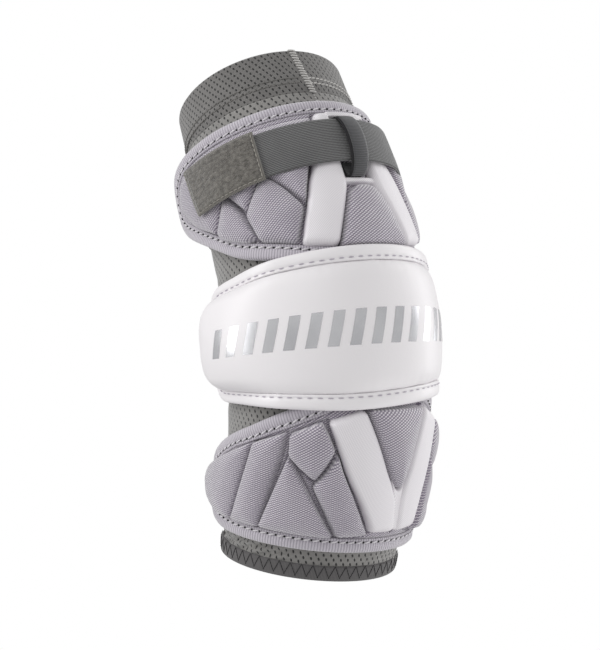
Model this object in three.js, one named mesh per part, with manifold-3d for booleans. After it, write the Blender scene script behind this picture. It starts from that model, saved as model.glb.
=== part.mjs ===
// Lacrosse arm pad: a knitted sleeve for a slightly bent arm, an upper pad and a forearm pad of
// moulded foam cells with raised white frames, an elbow cap between them, and an elastic strap with
// a hook tab and a keeper loop round the upper pad.
// Lengths are in millimetres and angles in degrees. The origin is the middle of the arm at the
// elbow, +Z goes up the arm and -Y points out through the elbow's tip.
//
// Everything lies on one form, the arm. A place on it has three numbers:
//   turn    the angle round the arm from the elbow's side, positive towards +X
//   along   the distance up the arm's bent middle line from the elbow
//   height  the distance out from the sleeve's outer face
import * as THREE from "three";
import { mergeVertices } from "three/addons/utils/BufferGeometryUtils.js";
import Module from "manifold-3d";

// The arm's form
const UPPER_LENGTH = 165; // elbow to the collar's rim, along the middle line
const FOREARM_LENGTH = 140; // elbow to the hem's edge
const ELBOW_RADIUS = 60;
const UPPER_RADIUS = 53; // at the rim
const WRIST_RADIUS = 53.5; // at the hem's edge
const GIRTH_TAPER = 1.4; // how late the girth falls off away from the elbow
const BEND_RADIUS = 230; // of the middle line at the elbow
const UPPER_LEAN = 25.5; // of the upper arm from +Z, towards +Y
const FOREARM_LEAN = 9.5; // of the forearm from -Z, towards +Y

// Gaps and cloth
const FIT_GAP = 0.5; // between pieces that touch
const KNIT_WALL = 1.3;
const COLLAR_WALL = 2.4; // a turned-in hem, two layers
const COLLAR_HEIGHT = 28;
const RIM_DIP = 8; // how much lower the rim is at its low side
const RIM_PEAK_TURN = -35;
const HEM_WALL = 2.6;
const HEM_HEIGHT = 8.5;
const PANEL_HALF = 45; // the sleeve's elbow panel reaches this far up and down the arm

// Both foam pads
const LINING_THICKNESS = 6.6; // the padded carrier under the cells
const CELL_HEIGHT = 6; // above the carrier
const BINDING_WIDTH = 8; // from the pad's edge to the row of stitches
const BINDING_THICKNESS = 7.4;
const FRAME_HEIGHT = 5.8; // the raised white frames above the carrier

// Upper pad
const UPPER_PAD_TOP = 124.5;
const UPPER_PAD_BOTTOM = 26;
const UPPER_PAD_REACH = 130; // degrees to each side of the elbow
const UPPER_PAD_FLARE = 5; // how far its free -X end springs off the sleeve
const UPPER_FLARE_START = 0.65; // share of the reach where that begins
const UPPER_SHIFT = -4; // degrees that its frame and middle cell stand off the elbow's side

// Forearm pad
const LOWER_PAD_TOP = -28;
const LOWER_PAD_BOTTOM = -120.5;
const LOWER_PAD_REACH = 140;
const LOWER_TWIST = 7; // degrees that the white frame's foot stands off the elbow's side

// Elbow cap
const CAP_TOP = 35;
const CAP_BOTTOM = -41.5;
const CAP_REACH = 134;
const CAP_CORNER = 22; // radius of its corners
const CAP_BINDING_WIDTH = 7.5;
const CAP_BINDING_THICKNESS = 5;
const CAP_CROWN = 16.5; // height of its middle over the sleeve
const CAP_SIDE_SEAT = 1.6; // height of its underside beside the pads
const CAP_SEAT_FRONT = 0.43; // share of the reach over which it rides on the pads
const CAP_SEAT_SIDE = 0.68; // share of the reach where it is down on the sleeve
const CAP_LOWER_RISE = 5.5; // how much its lower edge climbs towards +X

// Strap, hook tab and keeper loop
const STRAP_WIDTH = 31;
const STRAP_TOP = 109;
const STRAP_THICKNESS = 1.8;
const STRAP_DROP_TURN = 99; // where it comes down from the cells to the height of the binding
const STRAP_LOW_TURN = 121; // where it is at that height
const STRAP_LEAVES_TURN = 130; // where it runs off the pad's far end, straight to the sleeve
const STRAP_LANDS_TURN = 160;
const STRAP_END_TURN = 242; // sewn under the pad's near end, once round the arm
const TAB_START_TURN = -51;
const TAB_END_TURN = -99;
const TAB_THICKNESS = 3;
const TAB_OVERHANG = 1; // past each edge of the strap
const KEEPER_SPAN = 8.6; // degrees of turn
const KEEPER_THICKNESS = 1.4;

// How finely the surfaces are cut
const SLEEVE_TURNS = 32;
const PANEL_ROWS = 5;
const EDGE_STEP = 7; // longest straight stretch on a bent edge
const BINDING_STEP = 8;
const CARRIER_COLUMNS = 36;
const END_SECTIONS = [0.003, 0.01, 0.024]; // shares of a pad's length, at its rounded ends

const COLOURS = {
  knit: { color: 0x6f6f6e, roughness: 0.9, metalness: 0 },
  hem: { color: 0x5f5f61, roughness: 0.85, metalness: 0 },
  mesh: { color: 0xaaa4ae, roughness: 0.85, metalness: 0 },
  binding: { color: 0xb4b0b8, roughness: 0.8, metalness: 0 },
  webbing: { color: 0x4c4c4e, roughness: 0.85, metalness: 0 },
  hook: { color: 0x66635c, roughness: 0.95, metalness: 0 },
  white: { color: 0xeceaec, roughness: 0.45, metalness: 0 },
};

// Outline of the -X half of each foam pad, from the middle of its top to the middle of its bottom.
// across is a share of the pad's reach and up a share of its height.
const UPPER_OUTLINE = [
  { across: -0.4, up: 1 },
  { across: -0.8, up: 1 },
  { across: -0.93, up: 0.94 },
  { across: -1, up: 0.79 },
  { across: -0.985, up: 0.67 },
  { across: -0.94, up: 0.57 },
  { across: -0.855, up: 0.45 },
  { across: -0.745, up: 0.305 },
  { across: -0.63, up: 0.185 },
  { across: -0.52, up: 0.12 },
  { across: -0.43, up: 0.08 },
  { across: -0.345, up: 0.045 },
  { across: -0.215, up: 0.01 },
];
const LOWER_OUTLINE = [
  { across: -0.2, up: 0.98 },
  { across: -0.32, up: 0.915 },
  { across: -0.42, up: 0.85 },
  { across: -0.49, up: 0.805 },
  { across: -0.58, up: 0.74 },
  { across: -0.695, up: 0.655 },
  { across: -0.865, up: 0.48 },
  { across: -0.98, up: 0.33 },
  { across: -0.985, up: 0.18 },
  { across: -0.885, up: 0.06 },
  { across: -0.79, up: 0.015 },
  { across: -0.69, up: 0 },
  { across: -0.35, up: 0 },
];

// Corners of the foam cells on the -X side, as [across, up]; the +X side mirrors them.
const UPPER_CELLS = [
  {
    name: "end",
    corners: [[-0.685, 0.39], [-0.715, 0.55], [-0.755, 0.705], [-0.74, 0.81], [-0.66, 0.855], [-0.61, 0.56]],
  },
  {
    name: "wedge",
    corners: [[-0.6, 0.55], [-0.515, 0.25], [-0.555, 0.24], [-0.66, 0.32], [-0.675, 0.37]],
  },
  {
    name: "notch",
    corners: [[-0.585, 0.565], [-0.65, 0.865], [-0.46, 0.865], [-0.43, 0.58], [-0.52, 0.415]],
  },
  {
    name: "shield",
    corners: [[-0.425, 0.555], [-0.4, 0.54], [-0.305, 0.33], [-0.36, 0.165], [-0.49, 0.22], [-0.52, 0.375]],
  },
  {
    name: "kite",
    corners: [[-0.41, 0.58], [-0.44, 0.865], [-0.17, 0.865], [-0.24, 0.53], [-0.285, 0.365]],
  },
];
const UPPER_CENTRE_CELL = {
  name: "centre",
  corners: [[-0.15, 0.115], [-0.1, 0.26], [-0.045, 0.37], [0.045, 0.37], [0.1, 0.26], [0.15, 0.115]],
};
const LOWER_CELLS = [
  {
    name: "end",
    corners: [
      [-0.565, 0.63],
      [-0.705, 0.505],
      [-0.84, 0.38],
      [-0.87, 0.285],
      [-0.84, 0.185],
      [-0.72, 0.135],
      [-0.63, 0.135],
    ],
  },
  {
    name: "slant",
    corners: [[-0.545, 0.635], [-0.43, 0.705], [-0.495, 0.14], [-0.61, 0.135]],
  },
  {
    name: "peak",
    corners: [[-0.405, 0.565], [-0.475, 0.143], [-0.23, 0.135]],
  },
  {
    name: "kite",
    corners: [[-0.4, 0.71], [-0.295, 0.78], [-0.245, 0.645], [-0.305, 0.48], [-0.4, 0.6]],
  },
  {
    name: "blade",
    corners: [[-0.225, 0.605], [-0.1, 0.175], [-0.2, 0.15], [-0.3, 0.425]],
  },
];
const LOWER_CENTRE_CELL = {
  name: "centre",
  corners: [[-0.13, 0.84], [0.09, 0.85], [0.026, 0.52], [0.006, 0.52]],
};
// How a cell closes in towards its middle as it rises
const CELL_PROFILE = [
  { scale: 0.5, rise: 0 },
  { scale: 1, rise: 0 },
  { scale: 0.965, rise: 0.5 },
  { scale: 0.83, rise: 0.86 },
  { scale: 0.5, rise: 1 },
];

// Legs of the frames in rows from end to end: [across, up] of the two edges, and their share of
// the frame's height. The upper frame's second leg mirrors its first.
const UPPER_LEG = [
  { left: [-0.31, 0.138], right: [-0.165, 0.11], rise: 0.6 },
  { left: [-0.305, 0.165], right: [-0.158, 0.14], rise: 1 },
  { left: [-0.281, 0.245], right: [-0.119, 0.245], rise: 1 },
  { left: [-0.254, 0.325], right: [-0.092, 0.325], rise: 1 },
  { left: [-0.231, 0.405], right: [-0.065, 0.405], rise: 1 },
  { left: [-0.192, 0.53], right: [-0.062, 0.53], rise: 1 },
  { left: [-0.147, 0.7], right: [-0.052, 0.7], rise: 0.95 },
  { left: [-0.12, 0.83], right: [-0.045, 0.83], rise: 0.75 },
  { left: [-0.11, 0.91], right: [-0.042, 0.91], rise: 0.5 },
];
const CROSSBAR = { low: 0.39, high: 0.427, reach: 0.08, rise: 0.45 };
const TOP_BAR = { low: 0.872, high: 0.912, reach: 0.09, rise: 0.42 };
const LOWER_LEFT_LEG = [
  { left: [-0.271, 0.79], right: [-0.15, 0.84], rise: 0.6 },
  { left: [-0.26, 0.76], right: [-0.139, 0.81], rise: 1 },
  { left: [-0.229, 0.655], right: [-0.093, 0.705], rise: 1 },
  { left: [-0.179, 0.48], right: [-0.011, 0.49], rise: 1 },
  { left: [-0.136, 0.35], right: [0.021, 0.37], rise: 1 },
  { left: [-0.089, 0.19], right: [0.034, 0.19], rise: 1 },
  { left: [-0.082, 0.162], right: [0.035, 0.162], rise: 0.6 },
];
const LOWER_RIGHT_LEG = [
  { left: [0.114, 0.855], right: [0.257, 0.795], rise: 0.6 },
  { left: [0.107, 0.825], right: [0.25, 0.76], rise: 1 },
  { left: [0.079, 0.715], right: [0.232, 0.655], rise: 1 },
  { left: [0.043, 0.505], right: [0.204, 0.49], rise: 1 },
  { left: [0.036, 0.375], right: [0.189, 0.35], rise: 1 },
  { left: [0.043, 0.19], right: [0.166, 0.19], rise: 1 },
  { left: [0.044, 0.162], right: [0.162, 0.162], rise: 0.6 },
];
const LOWER_WEB = { low: 0.19, high: 0.44, left: -0.02, right: 0.08, rise: 0.35 };

// Section of a frame's leg from edge to edge and back under it: t is the share across it
const LEG_PROFILE = [
  { t: 0, rise: 0 },
  { t: 0.02, rise: 0.55 },
  { t: 0.13, rise: 0.9 },
  { t: 0.5, rise: 1 },
  { t: 0.87, rise: 0.9 },
  { t: 0.98, rise: 0.55 },
  { t: 1, rise: 0 },
  { t: 0.67, rise: 0 },
  { t: 0.33, rise: 0 },
];
// The keeper's inner face: up is a share of the strap's width above its lower edge, and rise a
// share of the way from the carrier to the strap's outer face.
const KEEPER_PATH = [
  { up: 1.02, rise: 0 },
  { up: 1.025, rise: 0.95 },
  { up: 0.975, rise: 1.05 },
  { up: 0.65, rise: 1.1 },
  { up: 0.35, rise: 1.1 },
  { up: 0.03, rise: 1.05 },
  { up: -0.08, rise: 0.8 },
  { up: -0.24, rise: 0 },
];
// Section of the cap from its lower to its upper edge
const CAP_PROFILE = [
  { t: 0, rise: 0 },
  { t: 0.1, rise: 0.62 },
  { t: 0.28, rise: 0.93 },
  { t: 0.5, rise: 1 },
  { t: 0.72, rise: 0.93 },
  { t: 0.9, rise: 0.62 },
  { t: 1, rise: 0 },
];

// Its underside from its upper to its lower edge: drop is a share of the way down to the sleeve.
const CAP_UNDERSIDE = [
  { t: 0, drop: 0 },
  { t: 0.03, drop: 0 },
  { t: 0.09, drop: 1 },
  { t: 0.28, drop: 1 },
  { t: 0.47, drop: 1 },
  { t: 0.66, drop: 1 },
  { t: 0.85, drop: 1 },
  { t: 0.9, drop: 0 },
  { t: 1, drop: 0 },
];

const wasm = await Module();
wasm.setup();

const radians = THREE.MathUtils.degToRad;

/** Rises smoothly from 0 at low to 1 at high. */
function ease(value, low, high) {
  return THREE.MathUtils.smoothstep(value, low, high);
}

/** The sleeve's radius at a distance up the arm. */
function girth(along) {
  const [length, end] = along > 0 ? [UPPER_LENGTH, UPPER_RADIUS] : [FOREARM_LENGTH, WRIST_RADIUS];
  const share = Math.abs(along) / length;
  return ELBOW_RADIUS + (end - ELBOW_RADIUS) * share ** GIRTH_TAPER;
}

/** The middle line: an arc at the elbow that runs on straight up and down the arm. */
function spine(along) {
  const middle = radians(UPPER_LEAN - FOREARM_LEAN) / 2;
  const arcHalf = (BEND_RADIUS * radians(UPPER_LEAN + FOREARM_LEAN)) / 2;
  const onArc = THREE.MathUtils.clamp(along, -arcHalf, arcHalf);
  const lean = middle + onArc / BEND_RADIUS;
  const straight = along - onArc;
  return {
    lean,
    y: BEND_RADIUS * (Math.cos(middle) - Math.cos(lean)) + straight * Math.sin(lean),
    z: BEND_RADIUS * (Math.sin(lean) - Math.sin(middle)) + straight * Math.cos(lean),
  };
}

/** The point at a turn, along and height on the arm. */
function onArm(turn, along, height) {
  const { lean, y, z } = spine(along);
  const reach = girth(along) + height;
  const towardsElbow = reach * Math.cos(radians(turn));
  return new THREE.Vector3(
    reach * Math.sin(radians(turn)),
    y - towardsElbow * Math.cos(lean),
    z + towardsElbow * Math.sin(lean),
  );
}

/** Length on the sleeve's face of one degree of turn. */
function degreeLength(along) {
  return radians(1) * girth(along);
}

/** The mean of some points. */
function centreOf(points) {
  const sum = points.reduce((total, point) => total.add(point), new THREE.Vector3());
  return sum.divideScalar(points.length);
}

/** A closed body from its corners and faces, turned so that its faces point out. */
function body(points, faces) {
  let volume = 0;
  for (const [a, b, c] of faces) {
    volume += points[a].dot(new THREE.Vector3().crossVectors(points[b], points[c]));
  }
  const outward = volume > 0 ? faces : faces.map(([a, b, c]) => [a, c, b]);
  const geometry = new THREE.BufferGeometry().setFromPoints(points);
  geometry.setIndex(outward.flat());
  return geometry;
}

/**
 * Joins rings of as many points each into one skin, closed round on itself or by end faces that
 * fan out from the ends' middles.
 */
function loft(rings, closed = false, middles = [centreOf(rings[0]), centreOf(rings.at(-1))]) {
  const size = rings[0].length;
  const points = rings.flat();
  const faces = [];
  const stretches = closed ? rings.length : rings.length - 1;
  for (let i = 0; i < stretches; i += 1) {
    const here = i * size;
    const next = ((i + 1) % rings.length) * size;
    for (let j = 0; j < size; j += 1) {
      const k = (j + 1) % size;
      faces.push([here + j, here + k, next + k], [here + j, next + k, next + j]);
    }
  }
  if (!closed) {
    const last = (rings.length - 1) * size;
    points.push(...middles);
    for (let j = 0; j < size; j += 1) {
      const k = (j + 1) % size;
      faces.push([k, j, points.length - 2], [last + j, last + k, points.length - 1]);
    }
  }
  return body(points, faces);
}

/** Evenly spaced numbers from low to high, both included. */
function spread(low, high, steps) {
  return Array.from({ length: steps + 1 }, (_, i) => low + ((high - low) * i) / steps);
}

/** A band of cloth all round the arm, between two edges that may depend on the turn. */
function cuff(lowEdge, highEdge, innerHeight, outerHeight, rows) {
  const rings = [];
  for (let i = 0; i < SLEEVE_TURNS; i += 1) {
    const turn = (360 * i) / SLEEVE_TURNS - 180;
    const levels = spread(lowEdge, highEdge(turn), rows);
    rings.push([
      ...levels.map((along) => onArm(turn, along, outerHeight)),
      ...levels.reverse().map((along) => onArm(turn, along, innerHeight)),
    ]);
  }
  return loft(rings, true);
}

/** One of the sleeve's panels, between two distances along the arm. */
function sleevePanel(low, high) {
  return cuff(low + FIT_GAP / 2, () => high - FIT_GAP / 2, -KNIT_WALL, 0, PANEL_ROWS);
}

/** The height of the collar's rim at a turn. */
function rimEdge(turn) {
  return UPPER_LENGTH - (RIM_DIP * (1 - Math.cos(radians(turn - RIM_PEAK_TURN)))) / 2;
}

/** A pad's own frame: shares of its reach and height, and what its ends do. */
class Pad {
  constructor({ bottom, top, reach, flare = 0, shiftAt = () => 0, seat = () => FIT_GAP, edge = null }) {
    Object.assign(this, { bottom, top, reach, flare, shiftAt, seat });
    this.edge = edge;
  }

  along(up) {
    return this.bottom + (this.top - this.bottom) * up;
  }

  lift(turn) {
    return this.flare * ease(-turn / this.reach, UPPER_FLARE_START, 1);
  }

  /** The point at a turn and along, at a height over the pad's carrier's underside. */
  point(turn, along, height) {
    return onArm(turn, along, this.seat(turn) + this.lift(turn) + height);
  }

  /** Turn and along of a place given in shares of the pad. */
  place([across, up]) {
    return { turn: across * this.reach, along: this.along(up) };
  }

  /** The place opposite one of the -X side, about a middle that the pad shifts near its frame. */
  opposite([across, up]) {
    const shift = this.shiftAt(up) * (1 - Math.abs(across));
    return { turn: 2 * shift - across * this.reach, along: this.along(up) };
  }

  /** A place of the upper frame, given in shares from the shifted middle. */
  shifted([across, up]) {
    return { turn: this.shiftAt(up) + across * this.reach, along: this.along(up) };
  }

  /** A smooth closed line through the outline's places on both sides, in flat millimetres. */
  outlineThrough(outline) {
    const left = outline.map(({ across, up }) => [across * this.reach, this.along(up)]);
    const right = left.map(([turn, along]) => [-turn, along]).reverse();
    const line = new THREE.CatmullRomCurve3(
      [...left, ...right].map(([turn, along]) => new THREE.Vector3(turn * degreeLength(along), along, 0)),
      true,
      "centripetal",
    );
    const steps = Math.round(line.getLength() / BINDING_STEP);
    return line.getSpacedPoints(steps).slice(0, -1);
  }
}

/** The outline moved in by a distance; points are in flat millimetres, x round and y up the arm. */
function inset(edge, distance) {
  return edge.map((point, i) => {
    const before = edge[(i + edge.length - 1) % edge.length];
    const after = edge[(i + 1) % edge.length];
    const way = after.clone().sub(before).normalize();
    // The outline runs anticlockwise seen from outside, so its inner side is on the left.
    return new THREE.Vector3(point.x - way.y * distance, point.y + way.x * distance, 0);
  });
}

/** A flat place back as a point at a height on a pad. */
function flatPoint(pad, flat, height) {
  return pad.point(flat.x / degreeLength(flat.y), flat.y, height);
}

/** The lowest and highest place of a flat outline at a distance round the arm. */
function reachAt(edge, x) {
  const crossings = [];
  edge.forEach((a, i) => {
    const b = edge[(i + 1) % edge.length];
    if ((a.x - x) * (b.x - x) <= 0 && a.x !== b.x) {
      crossings.push(a.y + ((b.y - a.y) * (x - a.x)) / (b.x - a.x));
    }
  });
  return [Math.min(...crossings), Math.max(...crossings)];
}

/** The tape round a pad's edge: a rounded section carried round the outline. */
function bindingLoop(pad, width, thickness) {
  const corner = 0.25;
  const section = [
    [0, corner],
    [corner, 0],
    [1 - corner, 0],
    [1, corner],
    [1, 1 - corner],
    [1 - corner, 1],
    [corner, 1],
    [0, 1 - corner],
  ];
  const lines = section.map(([acrossTape]) => inset(pad.edge, acrossTape * width));
  const rings = pad.edge.map((_, i) =>
    section.map(([, out], j) => flatPoint(pad, lines[j][i], out * thickness)),
  );
  return loft(rings, true);
}

/** The padded carrier inside the binding, lofted through sections round the arm. */
function carrier(pad, margin, sectionAt, columns) {
  const edge = inset(pad.edge, margin);
  const left = Math.min(...edge.map((point) => point.x));
  const right = Math.max(...edge.map((point) => point.x));
  const near = END_SECTIONS.at(-1);
  const shares = [
    ...END_SECTIONS.slice(0, -1),
    ...spread(near, 1 - near, columns),
    ...END_SECTIONS.slice(0, -1)
      .reverse()
      .map((share) => 1 - share),
  ];
  return loft(
    shares.map((share) => {
      const x = THREE.MathUtils.lerp(left, right, share);
      const [low, high] = reachAt(edge, x);
      return sectionAt(x, low, high).map(([y, height]) =>
        flatPoint(pad, new THREE.Vector3(x, y, 0), height),
      );
    }),
  );
}

/** Section of a foam pad's carrier: flat below and above. */
function carrierSection(x, low, high) {
  const rows = spread(low, high, 4);
  return [
    ...rows.map((y) => [y, LINING_THICKNESS]),
    ...rows.reverse().map((y) => [y, 0]),
  ];
}

/** Evenly cut edges of a closed polygon of places. */
function cutEdges(corners) {
  return corners.flatMap((a, i) => {
    const b = corners[(i + 1) % corners.length];
    const round = (b.turn - a.turn) * degreeLength((a.along + b.along) / 2);
    const cuts = Math.max(1, Math.round(Math.hypot(round, b.along - a.along) / EDGE_STEP));
    return Array.from({ length: cuts }, (_, k) => ({
      turn: a.turn + ((b.turn - a.turn) * k) / cuts,
      along: a.along + ((b.along - a.along) * k) / cuts,
    }));
  });
}

/** A foam cell on the places of its corners, closing in towards its middle as it rises. */
function foamCell(pad, corners) {
  const edge = cutEdges(corners);
  const middle = {
    turn: edge.reduce((sum, place) => sum + place.turn, 0) / edge.length,
    along: edge.reduce((sum, place) => sum + place.along, 0) / edge.length,
  };
  const foot = LINING_THICKNESS + FIT_GAP;
  const ringAt = ({ scale, rise }) =>
    edge.map((place) =>
      pad.point(
        middle.turn + (place.turn - middle.turn) * scale,
        middle.along + (place.along - middle.along) * scale,
        foot + rise * CELL_HEIGHT,
      ),
    );
  const ends = [0, 1].map((rise) => ringAt({ scale: 0, rise })[0]);
  return loft(CELL_PROFILE.map(ringAt), false, ends);
}

/** A raised bar lofted through rows, each with a left and a right place and a share of height. */
function raisedBar(pad, rows, footLift = 0) {
  const foot = LINING_THICKNESS + FIT_GAP + footLift;
  const rings = rows.map(({ left, right, rise }) =>
    LEG_PROFILE.map((step) => {
      const turn = THREE.MathUtils.lerp(left.turn, right.turn, step.t);
      const along = THREE.MathUtils.lerp(left.along, right.along, step.t);
      return pad.point(turn, along, foot + step.rise * rise * FRAME_HEIGHT);
    }),
  );
  return loft(rings);
}

/** Rows for a level bar, cut often enough to follow the arm; placeOf reads a share of the pad. */
function levelBar({ low, high, left, right, rise }, placeOf) {
  return spread(left, right, 4).map((across) => ({
    left: placeOf([across, high]),
    right: placeOf([across, low]),
    rise,
  }));
}

/** One solid from several that overlap. */
function joined(geometries) {
  const solids = geometries.map((geometry) => {
    const bare = mergeVertices(geometry, 1e-3);
    return new wasm.Manifold(
      new wasm.Mesh({
        numProp: 3,
        vertProperties: bare.getAttribute("position").array,
        triVerts: new Uint32Array(bare.index.array),
      }),
    );
  });
  const mesh = solids.reduce((sum, solid) => sum.add(solid)).getMesh();
  const geometry = new THREE.BufferGeometry();
  geometry.setAttribute("position", new THREE.BufferAttribute(new Float32Array(mesh.vertProperties), 3));
  geometry.setIndex(new THREE.BufferAttribute(new Uint32Array(mesh.triVerts), 1));
  return geometry;
}

/** The upper frame: two splayed legs, a low crossbar and a low bar across their tops. */
function upperFrame(pad) {
  const placeOf = (share) => pad.shifted(share);
  const mirrorOf = ([across, up]) => pad.shifted([-across, up]);
  const leg = (find) =>
    raisedBar(
      pad,
      UPPER_LEG.map(({ left, right, rise }) => ({ left: find(left), right: find(right), rise })),
    );
  const bar = ({ reach, ...rest }) =>
    raisedBar(pad, levelBar({ ...rest, left: -reach, right: reach }, placeOf), FIT_GAP / 2);
  return joined([leg(placeOf), leg(mirrorOf), bar(CROSSBAR), bar(TOP_BAR)]);
}

/** The forearm frame: two legs that meet in a groove, joined by a low web. */
function lowerFrame(pad) {
  const placeOf = (share) => pad.place(share);
  const leg = (rows) =>
    raisedBar(
      pad,
      rows.map(({ left, right, rise }) => ({ left: placeOf(left), right: placeOf(right), rise })),
    );
  const web = raisedBar(pad, levelBar(LOWER_WEB, placeOf), FIT_GAP / 2);
  return joined([leg(LOWER_LEFT_LEG), leg(LOWER_RIGHT_LEG), web]);
}

/** A flat band laid round the upper pad, from one turn to another. */
function wrapBand(pad, { from, to, low, high, thickness, heightAt }) {
  const columns = Math.max(2, Math.round((Math.abs(to - from) * degreeLength(low)) / EDGE_STEP));
  const rings = spread(from, to, columns).map((turn) => {
    const levels = spread(low, high, 3);
    const under = heightAt(turn);
    return [
      ...levels.map((along) => pad.point(turn, along, under + thickness)),
      ...levels.reverse().map((along) => pad.point(turn, along, under)),
    ];
  });
  return loft(rings);
}

/** The keeper: a webbing loop that crosses the strap and is sewn down above and below it. */
function keeper(pad, strapOuter) {
  const foot = LINING_THICKNESS + FIT_GAP;
  const path = KEEPER_PATH.map(({ up, rise }) => ({
    along: STRAP_TOP + (up - 1) * STRAP_WIDTH,
    height: THREE.MathUtils.lerp(foot, strapOuter + FIT_GAP, rise),
  }));
  const rings = path.map((inner, i) => {
    const before = path[Math.max(0, i - 1)];
    const after = path[Math.min(path.length - 1, i + 1)];
    const run = new THREE.Vector2(after.along - before.along, after.height - before.height).normalize();
    // The path runs down the arm, so its left side in this plane is the side of the strap.
    const outer = {
      along: inner.along + run.y * KEEPER_THICKNESS,
      height: Math.max(foot, inner.height - run.x * KEEPER_THICKNESS),
    };
    const middle = pad.shiftAt(1);
    return [
      [middle - KEEPER_SPAN / 2, inner],
      [middle + KEEPER_SPAN / 2, inner],
      [middle + KEEPER_SPAN / 2, outer],
      [middle - KEEPER_SPAN / 2, outer],
    ].map(([turn, at]) => pad.point(turn, at.along, at.height));
  });
  return loft(rings);
}

/** Height of the cap's underside: up on the pads in front, down on the sleeve at the sides. */
function capSeat(turn) {
  const overPads = FIT_GAP + BINDING_THICKNESS + FIT_GAP;
  const side = ease(Math.abs(turn) / CAP_REACH, CAP_SEAT_FRONT, CAP_SEAT_SIDE);
  return THREE.MathUtils.lerp(overPads, CAP_SIDE_SEAT, side);
}

/** The cap's outline: a band with round corners, whose lower edge climbs towards +X. */
function capOutline() {
  const far = CAP_REACH * degreeLength(0);
  const outline = new THREE.Shape();
  outline.absarc(far - CAP_CORNER, CAP_TOP - CAP_CORNER, CAP_CORNER, 0, Math.PI / 2);
  outline.absarc(CAP_CORNER - far, CAP_TOP - CAP_CORNER, CAP_CORNER, Math.PI / 2, Math.PI);
  outline.absarc(CAP_CORNER - far, CAP_BOTTOM + CAP_CORNER, CAP_CORNER, Math.PI, 1.5 * Math.PI);
  outline.absarc(far - CAP_CORNER, CAP_BOTTOM + CAP_CORNER, CAP_CORNER, 1.5 * Math.PI, 2 * Math.PI);
  const steps = Math.round(outline.getLength() / BINDING_STEP);
  return outline
    .getSpacedPoints(steps)
    .slice(0, -1)
    .map(({ x, y }) => {
      const climb = CAP_LOWER_RISE * ease(x / far, -0.3, 0.35) * ease(-y, 0, -CAP_BOTTOM);
      return new THREE.Vector3(x, y + climb, 0);
    });
}

/** The padded middle of the cap, crowned between its bound edges. */
function capBody(pad) {
  return carrier(
    pad,
    CAP_BINDING_WIDTH + FIT_GAP,
    (x, low, high) => {
      const turn = x / degreeLength(0);
      const edge = CAP_BINDING_THICKNESS - 1;
      const crown = CAP_CROWN - capSeat(turn);
      const shrink = Math.min(1, (high - low) / (CAP_TOP - CAP_BOTTOM) / 0.6);
      const outer = CAP_PROFILE.map(({ t, rise }) => [
        THREE.MathUtils.lerp(low, high, t),
        THREE.MathUtils.lerp(edge, crown, rise * shrink),
      ]);
      const under = CAP_UNDERSIDE.map(({ t, drop }) => [
        THREE.MathUtils.lerp(high, low, t),
        (FIT_GAP - capSeat(turn)) * drop,
      ]);
      return [...outer, ...under];
    },
    CARRIER_COLUMNS,
  );
}

/** A named mesh in one of the part's colours. */
function piece(name, geometry, colour) {
  geometry.computeVertexNormals();
  const mesh = new THREE.Mesh(geometry, new THREE.MeshStandardMaterial(COLOURS[colour]));
  mesh.name = name;
  return mesh;
}

/** A group of pieces. */
function assembly(...pieces) {
  const group = new THREE.Group();
  group.add(...pieces);
  return group;
}

/** The cells of one pad: each side one on each side of the middle, and the middle one. */
function cells(pad, prefix, sides, centre) {
  return [
    ...sides.flatMap(({ name, corners }) => {
      const left = foamCell(pad, corners.map((corner) => pad.place(corner)));
      const right = foamCell(pad, corners.map((corner) => pad.opposite(corner)));
      return [
        piece(`${prefix}_cell_${name}_left`, left, "mesh"),
        piece(`${prefix}_cell_${name}_right`, right, "mesh"),
      ];
    }),
    piece(`${prefix}_cell_${centre.name}`, foamCell(pad, centre.corners.map(centre.placeOf)), "mesh"),
  ];
}

const collarLow = UPPER_LENGTH - COLLAR_HEIGHT;
const hemHigh = HEM_HEIGHT - FOREARM_LENGTH;
const sleeve = assembly(
  piece("sleeve_upper_arm", sleevePanel(PANEL_HALF, collarLow), "knit"),
  piece("sleeve_elbow", sleevePanel(-PANEL_HALF, PANEL_HALF), "knit"),
  piece("sleeve_forearm", sleevePanel(hemHigh, -PANEL_HALF), "knit"),
  piece("collar", cuff(collarLow, rimEdge, -KNIT_WALL, COLLAR_WALL - KNIT_WALL, 2), "knit"),
  piece("hem_band", cuff(-FOREARM_LENGTH, () => hemHigh, -KNIT_WALL, HEM_WALL - KNIT_WALL, 1), "hem"),
);

const upper = new Pad({
  bottom: UPPER_PAD_BOTTOM,
  top: UPPER_PAD_TOP,
  reach: UPPER_PAD_REACH,
  flare: UPPER_PAD_FLARE,
  shiftAt: () => UPPER_SHIFT,
});
upper.edge = upper.outlineThrough(UPPER_OUTLINE);
const upperMiddle = { ...UPPER_CENTRE_CELL, placeOf: (corner) => upper.shifted(corner) };
const upperPad = assembly(
  piece("upper_carrier", carrier(upper, BINDING_WIDTH + FIT_GAP, carrierSection, CARRIER_COLUMNS), "mesh"),
  piece("upper_binding", bindingLoop(upper, BINDING_WIDTH, BINDING_THICKNESS), "binding"),
  ...cells(upper, "upper", UPPER_CELLS, upperMiddle),
  piece("upper_frame", upperFrame(upper), "white"),
);

const carrierTop = LINING_THICKNESS + FIT_GAP;
const strapUnder = carrierTop + CELL_HEIGHT + FIT_GAP;
const strapOnBinding = BINDING_THICKNESS + FIT_GAP;
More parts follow.
